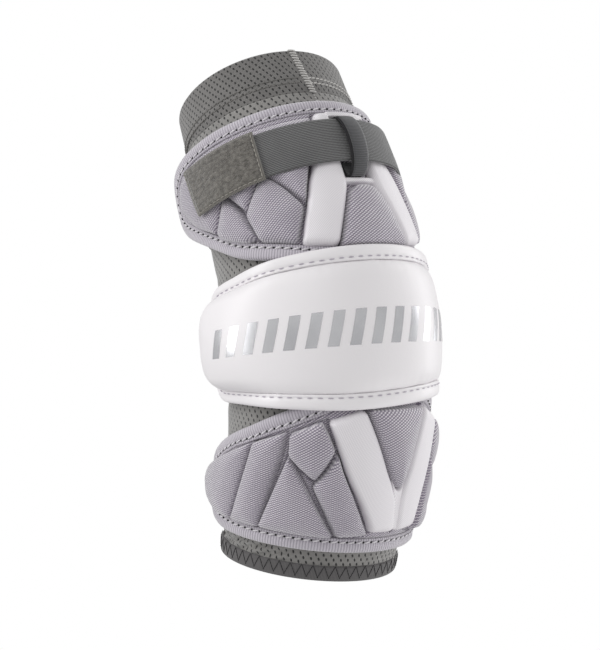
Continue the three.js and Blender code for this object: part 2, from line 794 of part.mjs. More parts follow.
/** Height of the strap: over the cells, over the binding, straight to the sleeve, then on it. */
const strapHeightAt = (turn) => {
  if (turn < STRAP_LEAVES_TURN) {
    const drop = ease(turn, STRAP_DROP_TURN, STRAP_LOW_TURN);
    return THREE.MathUtils.lerp(strapUnder, strapOnBinding, drop);
  }
  const rest = radians(Math.max(0, STRAP_LANDS_TURN - turn));
  return girth(STRAP_TOP - STRAP_WIDTH / 2) * (1 / Math.cos(rest) - 1);
};
const strapGroup = assembly(
  piece(
    "strap",
    wrapBand(upper, {
      from: STRAP_END_TURN,
      to: TAB_START_TURN + FIT_GAP,
      low: STRAP_TOP - STRAP_WIDTH,
      high: STRAP_TOP,
      thickness: STRAP_THICKNESS,
      heightAt: strapHeightAt,
    }),
    "webbing",
  ),
  piece(
    "hook_tab",
    wrapBand(upper, {
      from: TAB_START_TURN,
      to: TAB_END_TURN,
      low: STRAP_TOP - STRAP_WIDTH - TAB_OVERHANG,
      high: STRAP_TOP + TAB_OVERHANG,
      thickness: TAB_THICKNESS,
      heightAt: strapHeightAt,
    }),
    "hook",
  ),
  piece("keeper_loop", keeper(upper, strapUnder + STRAP_THICKNESS), "webbing"),
);

const lower = new Pad({
  bottom: LOWER_PAD_BOTTOM,
  top: LOWER_PAD_TOP,
  reach: LOWER_PAD_REACH,
  shiftAt: (up) => LOWER_TWIST * (1 - up),
});
lower.edge = lower.outlineThrough(LOWER_OUTLINE);
const lowerMiddle = { ...LOWER_CENTRE_CELL, placeOf: (corner) => lower.place(corner) };
const lowerPad = assembly(
  piece("lower_carrier", carrier(lower, BINDING_WIDTH + FIT_GAP, carrierSection, CARRIER_COLUMNS), "mesh"),
  piece("lower_binding", bindingLoop(lower, BINDING_WIDTH, BINDING_THICKNESS), "binding"),
  ...cells(lower, "lower", LOWER_CELLS, lowerMiddle),
  piece("lower_frame", lowerFrame(lower), "white"),
);

const cap = new Pad({
  bottom: CAP_BOTTOM,
  top: CAP_TOP,
  reach: CAP_REACH,
  seat: capSeat,
  edge: capOutline(),
});
const elbowCap = assembly(
  piece("elbow_cap", capBody(cap), "white"),
  piece("elbow_cap_binding", bindingLoop(cap, CAP_BINDING_WIDTH, CAP_BINDING_THICKNESS), "white"),
);

export default assembly(sleeve, upperPad, strapGroup, lowerPad, elbowCap);
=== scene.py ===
"""Dresses the lacrosse arm pad: mesh sleeve, pressed foam pads, white frames, elbow cap and strap.

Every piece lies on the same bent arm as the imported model. A place on the arm is given by its turn
round it in degrees (0 at the elbow's side, positive towards +X), its distance along the middle
line and its height over the sleeve's outer face, both in millimetres. Flat millimetres are the
length round the sleeve and the distance along it. Texture coordinates are millimetres too, round
the arm and along it, or along and across a tape.
"""

import logging
import math
from collections.abc import Callable
from dataclasses import dataclass, field
from enum import Enum

import bmesh
import bpy
import numpy as np
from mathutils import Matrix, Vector


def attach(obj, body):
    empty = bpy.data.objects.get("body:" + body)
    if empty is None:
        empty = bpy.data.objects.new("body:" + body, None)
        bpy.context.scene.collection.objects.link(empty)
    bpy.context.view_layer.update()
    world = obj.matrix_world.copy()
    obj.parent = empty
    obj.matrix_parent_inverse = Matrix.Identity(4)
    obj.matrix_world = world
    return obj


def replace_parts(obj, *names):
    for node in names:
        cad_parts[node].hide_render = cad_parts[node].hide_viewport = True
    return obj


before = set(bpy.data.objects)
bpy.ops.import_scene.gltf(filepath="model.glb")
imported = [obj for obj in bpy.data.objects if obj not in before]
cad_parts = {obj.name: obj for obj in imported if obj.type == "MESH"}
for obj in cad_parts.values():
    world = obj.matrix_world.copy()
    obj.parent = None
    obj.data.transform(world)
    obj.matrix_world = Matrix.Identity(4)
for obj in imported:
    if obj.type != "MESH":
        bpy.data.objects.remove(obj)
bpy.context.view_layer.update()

LOG = logging.getLogger("arm_pad")
MM = 0.001
ROOT = "root"
FULL_TURN = 2 * math.pi
TINY = 1e-9
Array = np.ndarray
Object = bpy.types.Object
Socket = bpy.types.NodeSocket
Place = tuple[float, float]
Edge = list[Place]


# The arm


class Arm:
    """The bent arm that every piece lies on; the same form as in the part's source."""

    UPPER_LENGTH = 165.0
    FOREARM_LENGTH = 140.0
    ELBOW_RADIUS = 60.0
    UPPER_RADIUS = 53.0
    WRIST_RADIUS = 53.5
    GIRTH_TAPER = 1.4
    BEND_RADIUS = 230.0
    UPPER_LEAN = math.radians(25.5)
    FOREARM_LEAN = math.radians(9.5)

    @classmethod
    def girth(cls, along: Array) -> Array:
        """The sleeve's radius.

        Args:
            along: Distances along the middle line.

        Returns:
            A radius for each distance.
        """
        along = np.asarray(along, float)
        length = np.where(along > 0, cls.UPPER_LENGTH, cls.FOREARM_LENGTH)
        end = np.where(along > 0, cls.UPPER_RADIUS, cls.WRIST_RADIUS)
        share = (np.abs(along) / length) ** cls.GIRTH_TAPER
        return cls.ELBOW_RADIUS + (end - cls.ELBOW_RADIUS) * share

    @classmethod
    def spine(cls, along: Array) -> tuple[Array, Array, Array]:
        """The middle line.

        Args:
            along: Distances along it.

        Returns:
            Lean in radians, Y and Z in millimetres, for each distance.
        """
        middle = (cls.UPPER_LEAN - cls.FOREARM_LEAN) / 2
        half = cls.BEND_RADIUS * (cls.UPPER_LEAN + cls.FOREARM_LEAN) / 2
        on_arc = np.clip(along, -half, half)
        lean = middle + on_arc / cls.BEND_RADIUS
        rest = along - on_arc
        y = cls.BEND_RADIUS * (math.cos(middle) - np.cos(lean)) + rest * np.sin(lean)
        z = cls.BEND_RADIUS * (np.sin(lean) - math.sin(middle)) + rest * np.cos(lean)
        return lean, y, z

    @classmethod
    def outward(cls, turn: Array, along: Array) -> Array:
        """Directions straight out of the arm.

        Args:
            turn: Turns in degrees.
            along: Distances along the middle line.

        Returns:
            Unit vectors on a last axis of three.
        """
        angle, along = np.broadcast_arrays(np.radians(turn), np.asarray(along, float))
        lean, out = cls.spine(along)[0], np.cos(angle)
        return np.stack([np.sin(angle), -out * np.cos(lean), out * np.sin(lean)], -1)

    @classmethod
    def point(cls, turn: Array, along: Array, height: Array) -> Array:
        """Places on the arm.

        Args:
            turn: Turns in degrees.
            along: Distances along the middle line.
            height: Heights over the sleeve's outer face.

        Returns:
            Points in millimetres on a last axis of three.
        """
        turn, along, height = np.broadcast_arrays(turn, np.asarray(along, float), height)
        _, y, z = cls.spine(along)
        centre = np.stack([np.zeros_like(y), y, z], -1)
        return centre + cls.outward(turn, along) * (cls.girth(along) + height)[..., None]

    @classmethod
    def degree(cls, along: Array) -> Array:
        """Length on the sleeve's face of one degree of turn, in millimetres."""
        return math.radians(1) * cls.girth(along)


# Numbers and lines

# Each row is one wave of ripple: its rates along u and v, its rate with the seed, its start
RIPPLES = ((2.1, 1.3, 1.0, 0.0), (-1.7, 2.6, 1.9, 1.0), (3.4, -0.6, 2.7, 2.0), (0.9, 3.9, 0.6, 4.0))
RIPPLE_PEAK = 3.2


def ease(value: Array, low: float, high: float) -> Array:
    """Rises smoothly from 0 at low to 1 at high."""
    share = np.clip((np.asarray(value, float) - low) / (high - low), 0, 1)
    return share * share * (3 - 2 * share)


def rounded(distance: Array, radius: float) -> Array:
    """A quarter round: 0 at the edge, 1 from a radius inwards."""
    share = np.clip(np.asarray(distance, float) / radius, 0, 1)
    return np.sqrt(np.clip(1 - (1 - share) ** 2, 0, 1))


def bell(distance: Array, width: float) -> Array:
    """1 in the middle, falling off to nothing beside it."""
    return np.exp(-((distance / width) ** 2))


def ripple(u: Array, v: Array, size: float, seed: float = 0.0) -> Array:
    """Smooth unevenness of about -1 to 1, with waves of about a size, by two coordinates."""
    a, b = np.asarray(u) / size, np.asarray(v) / size
    return sum(np.sin(p * a + q * b + r * seed + s) for p, q, r, s in RIPPLES) / RIPPLE_PEAK


def walked(points: Array) -> Array:
    """Distances walked along a line of points, from 0 at the first."""
    steps = np.linalg.norm(np.diff(points, axis=0), axis=-1)
    return np.concatenate([[0.0], np.cumsum(steps)])


def table(first: Array, second: Array) -> Array:
    """Every pair of two lists' values, rows by columns by two."""
    return np.stack(np.meshgrid(first, second, indexing="ij"), -1)


def cut(line: Array, places: Array) -> Array:
    """The points of a flat line at distances along it."""
    reach = walked(line)
    return np.stack([np.interp(places, reach, line[:, k]) for k in (0, 1)], -1)


def even_loop(line: Array, step: float) -> Array:
    """Cuts a closed flat line at an even step.

    Args:
        line: Its points, without the first one again at the end.
        step: Distance between the new points.

    Returns:
        The new points, also without the first again.
    """
    closed = np.vstack([line, line[:1]])
    length = walked(closed)[-1]
    return cut(closed, np.linspace(0, length, round(length / step), endpoint=False))


def smooth_loop(corners: Array, step: float) -> Array:
    """A closed smooth line through some flat points, as a centripetal spline.

    Args:
        corners: Points in flat millimetres.
        step: Distance between the line's points.

    Returns:
        Evenly spaced points, without the first one again at the end.
    """
    line = []
    for k in range(len(corners)):
        p = [corners[(k + o) % len(corners)] for o in (-1, 0, 1, 2)]
        knot = np.cumsum([0] + [math.sqrt(np.linalg.norm(p[i + 1] - p[i])) for i in range(3)])
        t = np.linspace(knot[1], knot[2], 24, endpoint=False)[:, None]

        def mix(a: Array, b: Array, i: int, j: int) -> Array:
            """A point between two, by where t lies between two knots."""
            return (a * (knot[j] - t) + b * (t - knot[i])) / (knot[j] - knot[i])

        one, two, three = (mix(p[i], p[i + 1], i, i + 1) for i in range(3))
        line.append(mix(mix(one, two, 0, 2), mix(two, three, 1, 3), 1, 2))
    return even_loop(np.concatenate(line), step)


def inset(edge: Array, distance: float) -> Array:
    """Moves a closed flat outline inwards.

    Args:
        edge: Its points, anticlockwise seen from outside.
        distance: How far.

    Returns:
        The moved points.
    """
    way = np.roll(edge, -3, 0) - np.roll(edge, 3, 0)
    way /= np.linalg.norm(way, axis=1)[:, None]
    return edge + distance * np.stack([-way[:, 1], way[:, 0]], -1)


def distance_to(line: Array, x: Array, y: Array) -> Array:
    """Distances from flat places to a flat line.

    Args:
        line: The line's points, close together.
        x: First coordinates of the places.
        y: Second coordinates.

    Returns:
        The distance of each place to the nearest point.
    """
    flat = np.stack([x.ravel(), y.ravel()], -1)
    best = np.full(len(flat), np.inf)
    batch = 25
    for start in range(0, len(line), batch):
        gap = flat[:, None] - line[None, start : start + batch]
        best = np.minimum(best, (gap**2).sum(-1).min(1))
    return np.sqrt(best).reshape(x.shape)


def smoothed(values: Array, places: Array) -> Array:
    """Reads a row of evenly spaced values with its corners rounded.

    Args:
        values: The row.
        places: Shares from 0 to 1 of its length.

    Returns:
        A value for each place.
    """
    count, reach = 400, 20
    fine = np.linspace(0, 1, count)
    row = np.interp(fine, np.linspace(0, 1, len(values)), values)
    padded = np.pad(row, reach, mode="reflect", reflect_type="odd")
    window = np.ones(2 * reach + 1) / (2 * reach + 1)
    return np.interp(places, fine, np.convolve(padded, window, "valid"))


def depth_in(corners: Array, x: Array, y: Array, soft: float = 0.7) -> Array:
    """How far places lie inside a convex polygon.

    Args:
        corners: The polygon in flat millimetres.
        x: First coordinates of the places.
        y: Second coordinates.
        soft: Rounds the ridges between its sides.

    Returns:
        Depths, negative outside.
    """
    ahead = np.roll(corners, -1, 0)
    turn = np.sign(np.sum(corners[:, 0] * ahead[:, 1] - ahead[:, 0] * corners[:, 1]))
    total = np.zeros_like(x)
    for a, b in zip(corners, ahead, strict=True):
        way = (b - a) / np.linalg.norm(b - a) * turn
        far = way[0] * (y - a[1]) - way[1] * (x - a[0])
        total += np.exp(np.clip(-far / soft, -60, 60))
    return -soft * np.log(total)


def fill_outline(edge: Array, columns: int, rows: int, crowd: float = 0.68) -> tuple:
    """A grid that fills a flat outline.

    Args:
        edge: The closed outline.
        columns: Columns, closer together at the ends.
        rows: Rows, closer together at the edges.
        crowd: How much closer the columns are at the ends.

    Returns:
        First and second coordinates, and the distance to the nearer of the two long edges.
    """
    start, end = int(np.argmin(edge[:, 0])), int(np.argmax(edge[:, 0]))
    lower = np.roll(edge, -start, 0)[: (end - start) % len(edge) + 1]
    upper = np.roll(edge, -end, 0)[: (start - end) % len(edge) + 1][::-1]
    s, t = np.linspace(0, 1, columns), np.linspace(0, 1, rows)
    tip = 0.0002
    s = (s - crowd * np.sin(FULL_TURN * s) / FULL_TURN) * (1 - 2 * tip) + tip
    t = t - crowd / 3 * np.sin(FULL_TURN * t) / FULL_TURN
    x = edge[start, 0] + (edge[end, 0] - edge[start, 0]) * s
    low, high = (np.interp(x, side[:, 0], side[:, 1])[:, None] for side in (lower, upper))
    y = low + (high - low) * t[None]
    return np.repeat(x[:, None], rows, 1), y, np.minimum(y - low, high - y)


# Meshes


def link(name: str, data: bpy.types.ID) -> Object:
    """Adds an object to the scene.

    Args:
        name: Its name.
        data: Its mesh, light or camera.

    Returns:
        The object.
    """
    obj = bpy.data.objects.new(name, data)
    bpy.context.scene.collection.objects.link(obj)
    return obj


@dataclass
class Surface:
    """Collects quads for one mesh, with texture coordinates for each corner."""

    points: list[Array] = field(default_factory=list)
    faces: list[Array] = field(default_factory=list)
    coords: list[Array] = field(default_factory=list)
    count: int = 0

    def grid(self, points: Array, coords: Array, wrap: tuple[bool, bool] = (False, False)) -> None:
        """Adds a grid of quads.

        Args:
            points: Rows by columns by three, in millimetres.
            coords: Texture coordinates, with one more row or column where the grid wraps.
            wrap: Whether the rows and the columns close on themselves.
        """
        rows, cols = points.shape[:2]
        quads = table(np.arange(rows - (not wrap[0])), np.arange(cols - (not wrap[1])))
        i, j = quads.reshape(-1, 2).T
        corners = [(i, j), (i + 1, j), (i + 1, j + 1), (i, j + 1)]
        faces = np.stack([(a % rows) * cols + b % cols for a, b in corners], -1)
        self.faces.append(faces + self.count)
        self.coords.append(np.stack([coords[a, b] for a, b in corners], 1))
        self.points.append(points.reshape(-1, 3))
        self.count += rows * cols

    def tube(self, path: Array, normals: Array, radii: Array, sides: int = 6) -> None:
        """Adds a round thread along a path, drawn in at its ends by its radii.

        Args:
            path: Points in millimetres.
            normals: Directions out of the surface below the thread.
            radii: Radius at each point.
            sides: Sides of the round.
        """
        run = np.gradient(path, axis=0)
        run /= np.linalg.norm(run, axis=1)[:, None] + TINY
        side = np.cross(run, normals)
        side /= np.linalg.norm(side, axis=1)[:, None] + TINY
        up = np.cross(side, run)
        angle = np.linspace(0, FULL_TURN, sides, endpoint=False)[None, :, None]
        ring = np.cos(angle) * side[:, None] + np.sin(angle) * up[:, None]
        points = path[:, None] + ring * np.asarray(radii)[:, None, None]
        self.grid(points, table(walked(path), np.arange(sides + 1.0)), (False, True))

    def build(
        self, name: str, material: bpy.types.Material, slot: str, closed: bool = True
    ) -> Object:
        """Makes the object and lets it ride the part.

        Args:
            name: The object's name.
            material: Its material.
            slot: The record's material slot; not used.
            closed: Whether to turn all faces outwards.

        Returns:
            The object.
        """
        points, faces = np.concatenate(self.points) * MM, np.concatenate(self.faces)
        mesh = bpy.data.meshes.new(name)
        mesh.from_pydata(points.tolist(), [], faces.tolist())
        coords = np.concatenate(self.coords).astype(np.float32)
        mesh.uv_layers.new(name="UVMap").data.foreach_set("uv", coords.ravel())
        mesh.polygons.foreach_set("use_smooth", np.ones(len(mesh.polygons), bool))
        mesh.materials.append(material)
        mesh.update()
        mesh.validate()
        obj = link(name, mesh)
        if closed:
            self._face_out(mesh)
        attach(obj, ROOT)
        LOG.info("piece %s: %d faces, %s", name, len(mesh.polygons), material.name)
        return obj

    @staticmethod
    def _face_out(mesh: bpy.types.Mesh) -> None:
        """Turns the faces of every separate shell of a mesh outwards.

        Args:
            mesh: The mesh.
        """
        work = bmesh.new()
        work.from_mesh(mesh)
        bmesh.ops.recalc_face_normals(work, faces=work.faces)
        work.to_mesh(mesh)
        work.free()


@dataclass
class ArmPath:
    """A line on the arm."""

    turn: Array
    along: Array
    height: Array

    def __post_init__(self) -> None:
        """Measures the line."""
        lists = np.broadcast_arrays(self.turn, self.along, self.height)
        self.turn, self.along, self.height = (np.array(a, float) for a in lists)
        self.reach = walked(self.points())

    @property
    def length(self) -> float:
        """The line's length in millimetres."""
        return float(self.reach[-1])

    def points(self) -> Array:
        """The line's points."""
        return Arm.point(self.turn, self.along, self.height)

    def at(self, places: Array, lift: Array = 0.0) -> "ArmPath":
        """The line cut again.

        Args:
            places: Distances from the line's start.
            lift: Added to the height.

        Returns:
            A line through those places.
        """
        lists = (self.turn, self.along, self.height)
        turn, along, height = (np.interp(places, self.reach, a) for a in lists)
        return ArmPath(turn, along, height + lift)

    def aside(self, distance: Array) -> "ArmPath":
        """Moves the line sideways.

        Args:
            distance: How far at each point, in millimetres.

        Returns:
            The moved line.
        """
        x = self.turn * Arm.degree(self.along)
        run = np.stack([np.gradient(x), np.gradient(self.along)])
        run /= np.hypot(*run) + TINY
        along = self.along + run[0] * distance
        return ArmPath((x - run[1] * distance) / Arm.degree(along), along, self.height)

    def lay(self, surface: Surface, radii: Array, sides: int = 6) -> None:
        """Lays a thread of given radii along the line."""
        surface.tube(self.points(), Arm.outward(self.turn, self.along), radii, sides)

    def thread(self, surface: Surface, radius: float, sides: int = 6) -> None:
        """Lays an even thread along the line, drawn in at its ends.

        Args:
            surface: Takes the thread.
            radius: Its radius.
            sides: Sides of its round.
        """
        radii = np.full(len(self.turn), radius)
        radii[0] = radii[-1] = radius * 0.25
        self.lay(surface, radii, sides)


@dataclass(frozen=True)
class StitchStyle:
    """The size of the stitches in a row."""

    pitch: float = 3.5
    length: float = 2.5
    radius: float = 0.34
    rise: float = 0.32
    slant: float = 0.0

    SLACK = 0.12
    # Where the holes the needle leaves lie, how large and how high: dark blobs of painted shade.
    HOLE_PLACES = np.array([-0.6, -0.3, 0.3, 0.6])
    HOLE_RADII = np.array([0.3, 1.0, 1.0, 0.3])
    HOLE_HEIGHT = 0.05

    def sew(self, line: ArmPath, thread: Surface, holes: Surface | None = None) -> None:
        """Sews a row of stitches along a line.

        Args:
            line: Where the row runs.
            thread: Takes the stitches.
            holes: Takes the holes the needle leaves between them, as dark blobs of painted shade.
        """
        count = max(1, round(line.length / self.pitch))
        pitch = line.length / count
        share = np.linspace(0, 1, 6)
        arch = np.sin(math.pi * share)
        for k in range(count):
            slack = self.SLACK * math.sin(5.3 * k + line.length)
            start = (k + 0.5) * pitch - self.length / 2 + slack
            piece = line.at(start + share * self.length, self.rise * arch)
            piece.aside(self.slant * (2 * share - 1)).lay(
                thread, self.radius * (0.35 + 0.65 * np.clip(arch, 0, 1) ** 0.5)
            )
            if holes is not None:
                spot = start - (pitch - self.length) / 2 + self.HOLE_PLACES
                hole = line.at(spot + max(0.0, -spot[0]), self.HOLE_HEIGHT)
                hole.lay(holes, self.radius * self.HOLE_RADII)


# Finishes


class Graph:
    """Builds the nodes of one material or node group."""

    def __init__(self, tree: bpy.types.NodeTree) -> None:
        """Takes the tree to build in."""
        self.tree = tree

    def node(self, kind: str, values: dict | None = None, **settings: object) -> bpy.types.Node:
        """Adds a node.

        Args:
            kind: The node's type.
            values: Input name or number to a value or a socket.
            **settings: Properties of the node.

        Returns:
            The node.
        """
        made = self.tree.nodes.new(kind)
        for key, value in settings.items():
            setattr(made, key, value)
        for key, value in (values or {}).items():
            if isinstance(value, Socket):
                self.tree.links.new(value, made.inputs[key])
            else:
                made.inputs[key].default_value = value
        return made

    def math(self, operation: str, *values: object) -> Socket:
        """A maths node's output."""
        return self.node("ShaderNodeMath", dict(enumerate(values)), operation=operation).outputs[0]

    def step(self, value: object, low: float, high: float) -> Socket:
        """Rises smoothly from 0 at low to 1 at high, or falls where low is the larger.

        Args:
            value: What is compared.
            low: Where the output is 0.
            high: Where it is 1.

        Returns:
            The output.
        """
        ends = (1.0, 0.0) if low > high else (0.0, 1.0)
        values = {0: value, 1: min(low, high), 2: max(low, high), 3: ends[0], 4: ends[1]}
        return self.node("ShaderNodeMapRange", values, interpolation_type="SMOOTHSTEP").outputs[0]

    def noise(self, where: object, scale: float, detail: float = 2.0) -> Socket:
        """A noise value around 0.5."""
        values = {"Vector": where, "Scale": scale, "Detail": detail}
        return self.node("ShaderNodeTexNoise", values).outputs["Fac"]

    def mix(self, share: object, a: object, b: object) -> Socket:
        """A colour between a and b."""
        return self.node("ShaderNodeMix", {0: share, 6: a, 7: b}, data_type="RGBA").outputs[2]

    def bump(self, height: Socket, distance: float) -> Socket:
        """A normal from a height, whose full range stands for a distance in millimetres."""
        values = {"Strength": 1.0, "Distance": distance * MM, "Height": height}
        return self.node("ShaderNodeBump", values).outputs[0]


def rgb(hex_code: int) -> tuple[float, ...]:
    """A colour for the renderer from a display code such as 0x808080."""
    parts = [((hex_code >> shift) & 255) / 255 for shift in (16, 8, 0)]
    return (*(c / 12.92 if c <= 0.04045 else ((c + 0.055) / 1.055) ** 2.4 for c in parts), 1.0)


def empty_material(name: str) -> tuple[bpy.types.Material, Graph]:
    """Makes a material without nodes.

    Args:
        name: Its name.

    Returns:
        The material and the graph to fill it with.
    """
    material = bpy.data.materials.new(name)
    material.use_nodes = True
    material.node_tree.nodes.clear()
    return material, Graph(material.node_tree)


class Weave(Enum):
    """The cloths' patterns, by the names of their node groups."""

    MESH = "mesh knit with holes"
    RIB = "pressed rib knit"
    TAPE = "ribbed tape"
    WEBBING = "elastic webbing"
    NAP = "brushed nap"
    TWILL = "fine twill emboss"
    CLOUD = "uneven tone"


# In every weave but the uneven tone, the Mask marks the low places and holes, which the material
# fills with its deep tone: painted shade.
class WeaveGroup(Graph):
    """One weave's node group, which turns Coords in millimetres into a Height and a Mask."""

    SOCKETS = (
        ("Coords", "INPUT", "Vector"),
        ("Height", "OUTPUT", "Float"),
        ("Mask", "OUTPUT", "Float"),
    )
    HOLE_PITCH = (4.3, 2.45)
    HOLE_HALF = (0.74, 1.12)
    HOLE_STAGGER = 0.41
    RIB_PITCH = 1.14
    BEAD_PITCH = 1.26
    TAPE_PITCH = 1.55
    WEBBING_PITCH = 1.12
    TWILL_PITCH = 1.15

    def __init__(self, weave: Weave) -> None:
        """Makes the group.

        Args:
            weave: Which pattern it holds.
        """
        super().__init__(bpy.data.node_groups.new(weave.value, "ShaderNodeTree"))
        for name, way, kind in self.SOCKETS:
            self.tree.interface.new_socket(name, in_out=way, socket_type=f"NodeSocket{kind}")
        self.coords = self.node("NodeGroupInput").outputs["Coords"]
        self.u, self.v, _ = self.node("ShaderNodeSeparateXYZ", {0: self.coords}).outputs
        makers = {
            Weave.MESH: self._mesh,
            Weave.RIB: self._rib,
            Weave.TAPE: self._tape,
            Weave.WEBBING: self._webbing,
            Weave.NAP: self._nap,
            Weave.TWILL: self._twill,
            Weave.CLOUD: self._cloud,
        }
        height, mask = makers[weave]()
        self.node("NodeGroupOutput", {"Height": height, "Mask": mask})

    def _sum(self, a: Socket, share: float, b: Socket) -> Socket:
        """A share of one value added to another."""
        return self.math("MULTIPLY_ADD", a, share, b)

    def _wave(self, value: Socket, pitch: float, shift: object = 0.0) -> Socket:
        """A wave from 0 to 1 with a pitch in millimetres."""
        angle = self.math("ADD", self.math("MULTIPLY", value, FULL_TURN / pitch), shift)
        return self.math("MULTIPLY_ADD", self.math("SINE", angle), 0.5, 0.5)

    def _mesh(self) -> tuple[Socket, Socket]:
        """Staggered holes in a fine knit.

        Returns:
            The height and the mask.
        """
        row = self.math("DIVIDE", self.v, self.HOLE_PITCH[1])
        shift = self.math("MULTIPLY", self.math("FLOOR", row), self.HOLE_STAGGER)
        column = self.math("ADD", self.math("DIVIDE", self.u, self.HOLE_PITCH[0]), shift)
        a, b = (self.math("SUBTRACT", self.math("FRACT", at), 0.5) for at in (column, row))
        scale = [pitch / half for pitch, half in zip(self.HOLE_PITCH, self.HOLE_HALF, strict=True)]
        wide = self.math("POWER", self.math("MULTIPLY", self._sum(b, 0.12, a), scale[0]), 2.0)
        tall = self.math("POWER", self.math("MULTIPLY", b, scale[1]), 2.0)
        hole = self.step(self.math("ADD", wide, tall), 1.0, 0.35)
        slant = self._wave(self._sum(self.u, 0.5, self.v), 0.6)
        loops = self.math("MULTIPLY", self._wave(self.u, 0.85), slant)
        loop_shade = self.math("MULTIPLY", self.step(loops, 0.5, 0.0), 0.1)
        height = self.math("SUBTRACT", self.math("MULTIPLY", loops, 0.3), hole)
        # The mask: near-black painted shade seen through the holes, and a little painted shade in
        # the low places between the loops.
        return height, self.math("MAXIMUM", hole, loop_shade)

    def _rib(self) -> tuple[Socket, Socket]:
        """Slanting rows of small staggered loops.

        Returns:
            The height and the mask.
        """
        sway = self.math("SUBTRACT", self.noise(self.coords, 0.04, 1.0), 0.5)
        flat = self._sum(self.u, -0.55, self.math("MULTIPLY", self.v, 0.835))
        across = self._sum(sway, 2.0, flat)
        down = self._sum(self.u, 0.835, self.math("MULTIPLY", self.v, 0.55))
        stagger = self.math("MULTIPLY", across, math.pi / self.RIB_PITCH)
        bead = self._wave(down, self.BEAD_PITCH, stagger)
        row = self.math("POWER", self._wave(across, self.RIB_PITCH), 0.8)
        height = self.math("MULTIPLY", row, self.math("MULTIPLY_ADD", bead, 0.66, 0.34))
        # The mask is 1 in the low places between the loops: painted shade over the knit's own
        # pattern.
        return height, self.step(height, 0.72, 0.1)

    def _tape(self) -> tuple[Socket, Socket]:
        """Ribs across a tape.

        Returns:
            The height and the mask.
        """
        rib = self.math("POWER", self._wave(self.u, self.TAPE_PITCH), 0.8)
        fine = self._wave(self.v, 0.7, self.math("MULTIPLY", self.u, 2.4))
        # The mask is 1 between the ribs: painted shade in their low places over the tape's own
        # pattern.
        return self._sum(fine, 0.2, rib), self.step(rib, 0.75, 0.1)

    def _webbing(self) -> tuple[Socket, Socket]:
        """Ribs along the band, each of short threads that miss those of the next.

        Returns:
            The height and the mask.
        """
        row = self._wave(self.v, self.WEBBING_PITCH, -0.5 * math.pi)
        number = self.math("FLOOR", self.math("DIVIDE", self.v, self.WEBBING_PITCH))
        shift = self.math("MULTIPLY", number, math.pi)
        thread = self._wave(self._sum(self.v, 0.15, self.u), 2.1, shift)
        dash = self.math("MULTIPLY_ADD", thread, 0.26, 0.74)
        height = self.math("MULTIPLY", self.math("POWER", row, 0.6), dash)
        # The mask is 1 in the low places between and along the ribs: painted shade over the
        # webbing's own pattern.
        return height, self.step(height, 0.7, 0.08)

    def _nap(self) -> tuple[Socket, Socket]:
        """Brushed loops in clumps.

        Returns:
            The height and the mask.
        """
        clump, fibre = self.noise(self.coords, 0.42, 4.0), self.noise(self.coords, 2.4, 3.0)
        height = self._sum(fibre, 0.7, clump)
        # The mask is 1 in the nap's low places: painted shade over its own clumps.
        return height, self.step(height, 1.15, 0.6)

    def _twill(self) -> tuple[Socket, Socket]:
        """Fine slanting lines pressed into a coated face.

        Returns:
            The height and the mask.
        """
        line = self._wave(self._sum(self.u, 0.75, self.v), self.TWILL_PITCH)
        dot = self._wave(self._sum(self.u, -0.9, self.v), 1.6)
        height = self.math("MULTIPLY", line, self.math("MULTIPLY_ADD", dot, 0.4, 0.6))
        # The mask is 1 in the pressed lines: painted shade in them.
        return height, self.step(height, 0.8, 0.1)

    def _cloud(self) -> tuple[Socket, Socket]:
        """Soft unevenness of tone, for coordinates in metres."""
        cloud = self.noise(self.coords, 38.0, 3.0)
        return cloud, self.step(cloud, 0.35, 0.7)


@dataclass(frozen=True)
class Finish:
    """A material: two tones of colour by the weave's mask, the deep tone painted shade in the
    weave's low places and holes, and how it takes the light.
    """

    name: str
    tone: int
    deep: int
    roughness: float
    weave: Weave | None = None
    bump: float = 0.0
    sheen: float = 0.0
    sheen_roughness: float = 0.5
    metallic: float = 0.0
    coat: float = 0.0
    unevenness: float = 0.15
    grain: float = 0.0
    scale: float = 1.0

    COAT_ROUGHNESS = 0.35
    GRAIN_SCALE = 900.0

    def build(self, weaves: dict[Weave, bpy.types.NodeTree]) -> bpy.types.Material:
        """Makes the material.

        Args:
            weaves: The weaves' node groups.

        Returns:
            The material.
        """
        material, g = empty_material(self.name)
        place = g.node("ShaderNodeTexCoord").outputs["Object"]
        colour, deep = rgb(self.tone), rgb(self.deep)
        extra = {}
        if self.weave:
            coords = g.node("ShaderNodeUVMap", uv_map="UVMap").outputs[0]
            values = {0: coords, "Scale": self.scale}
            sized = g.node("ShaderNodeVectorMath", values, operation="SCALE").outputs[0]
            cloth = g.node("ShaderNodeGroup", {"Coords": sized}, node_tree=weaves[self.weave])
            # Painted shade: the deep tone where the weave is low or holed.
            colour = g.mix(cloth.outputs["Mask"], colour, deep)
            extra["Normal"] = g.bump(cloth.outputs["Height"], self.bump)
        elif self.grain:
            extra["Normal"] = g.bump(g.noise(place, self.GRAIN_SCALE, 3.0), self.grain)
        cloud = g.node("ShaderNodeGroup", {"Coords": place}, node_tree=weaves[Weave.CLOUD])
        dark = g.mix(self.unevenness, colour, deep)
        values = {
            "Base Color": g.mix(cloud.outputs["Mask"], colour, dark),
            "Roughness": self.roughness,
            "Metallic": self.metallic,
            "Sheen Weight": self.sheen,
            "Sheen Roughness": self.sheen_roughness,
            "Coat Weight": self.coat,
            "Coat Roughness": self.COAT_ROUGHNESS,
        }
        surface = g.node("ShaderNodeBsdfPrincipled", values | extra)
        g.node("ShaderNodeOutputMaterial", {"Surface": surface.outputs[0]})
        return material
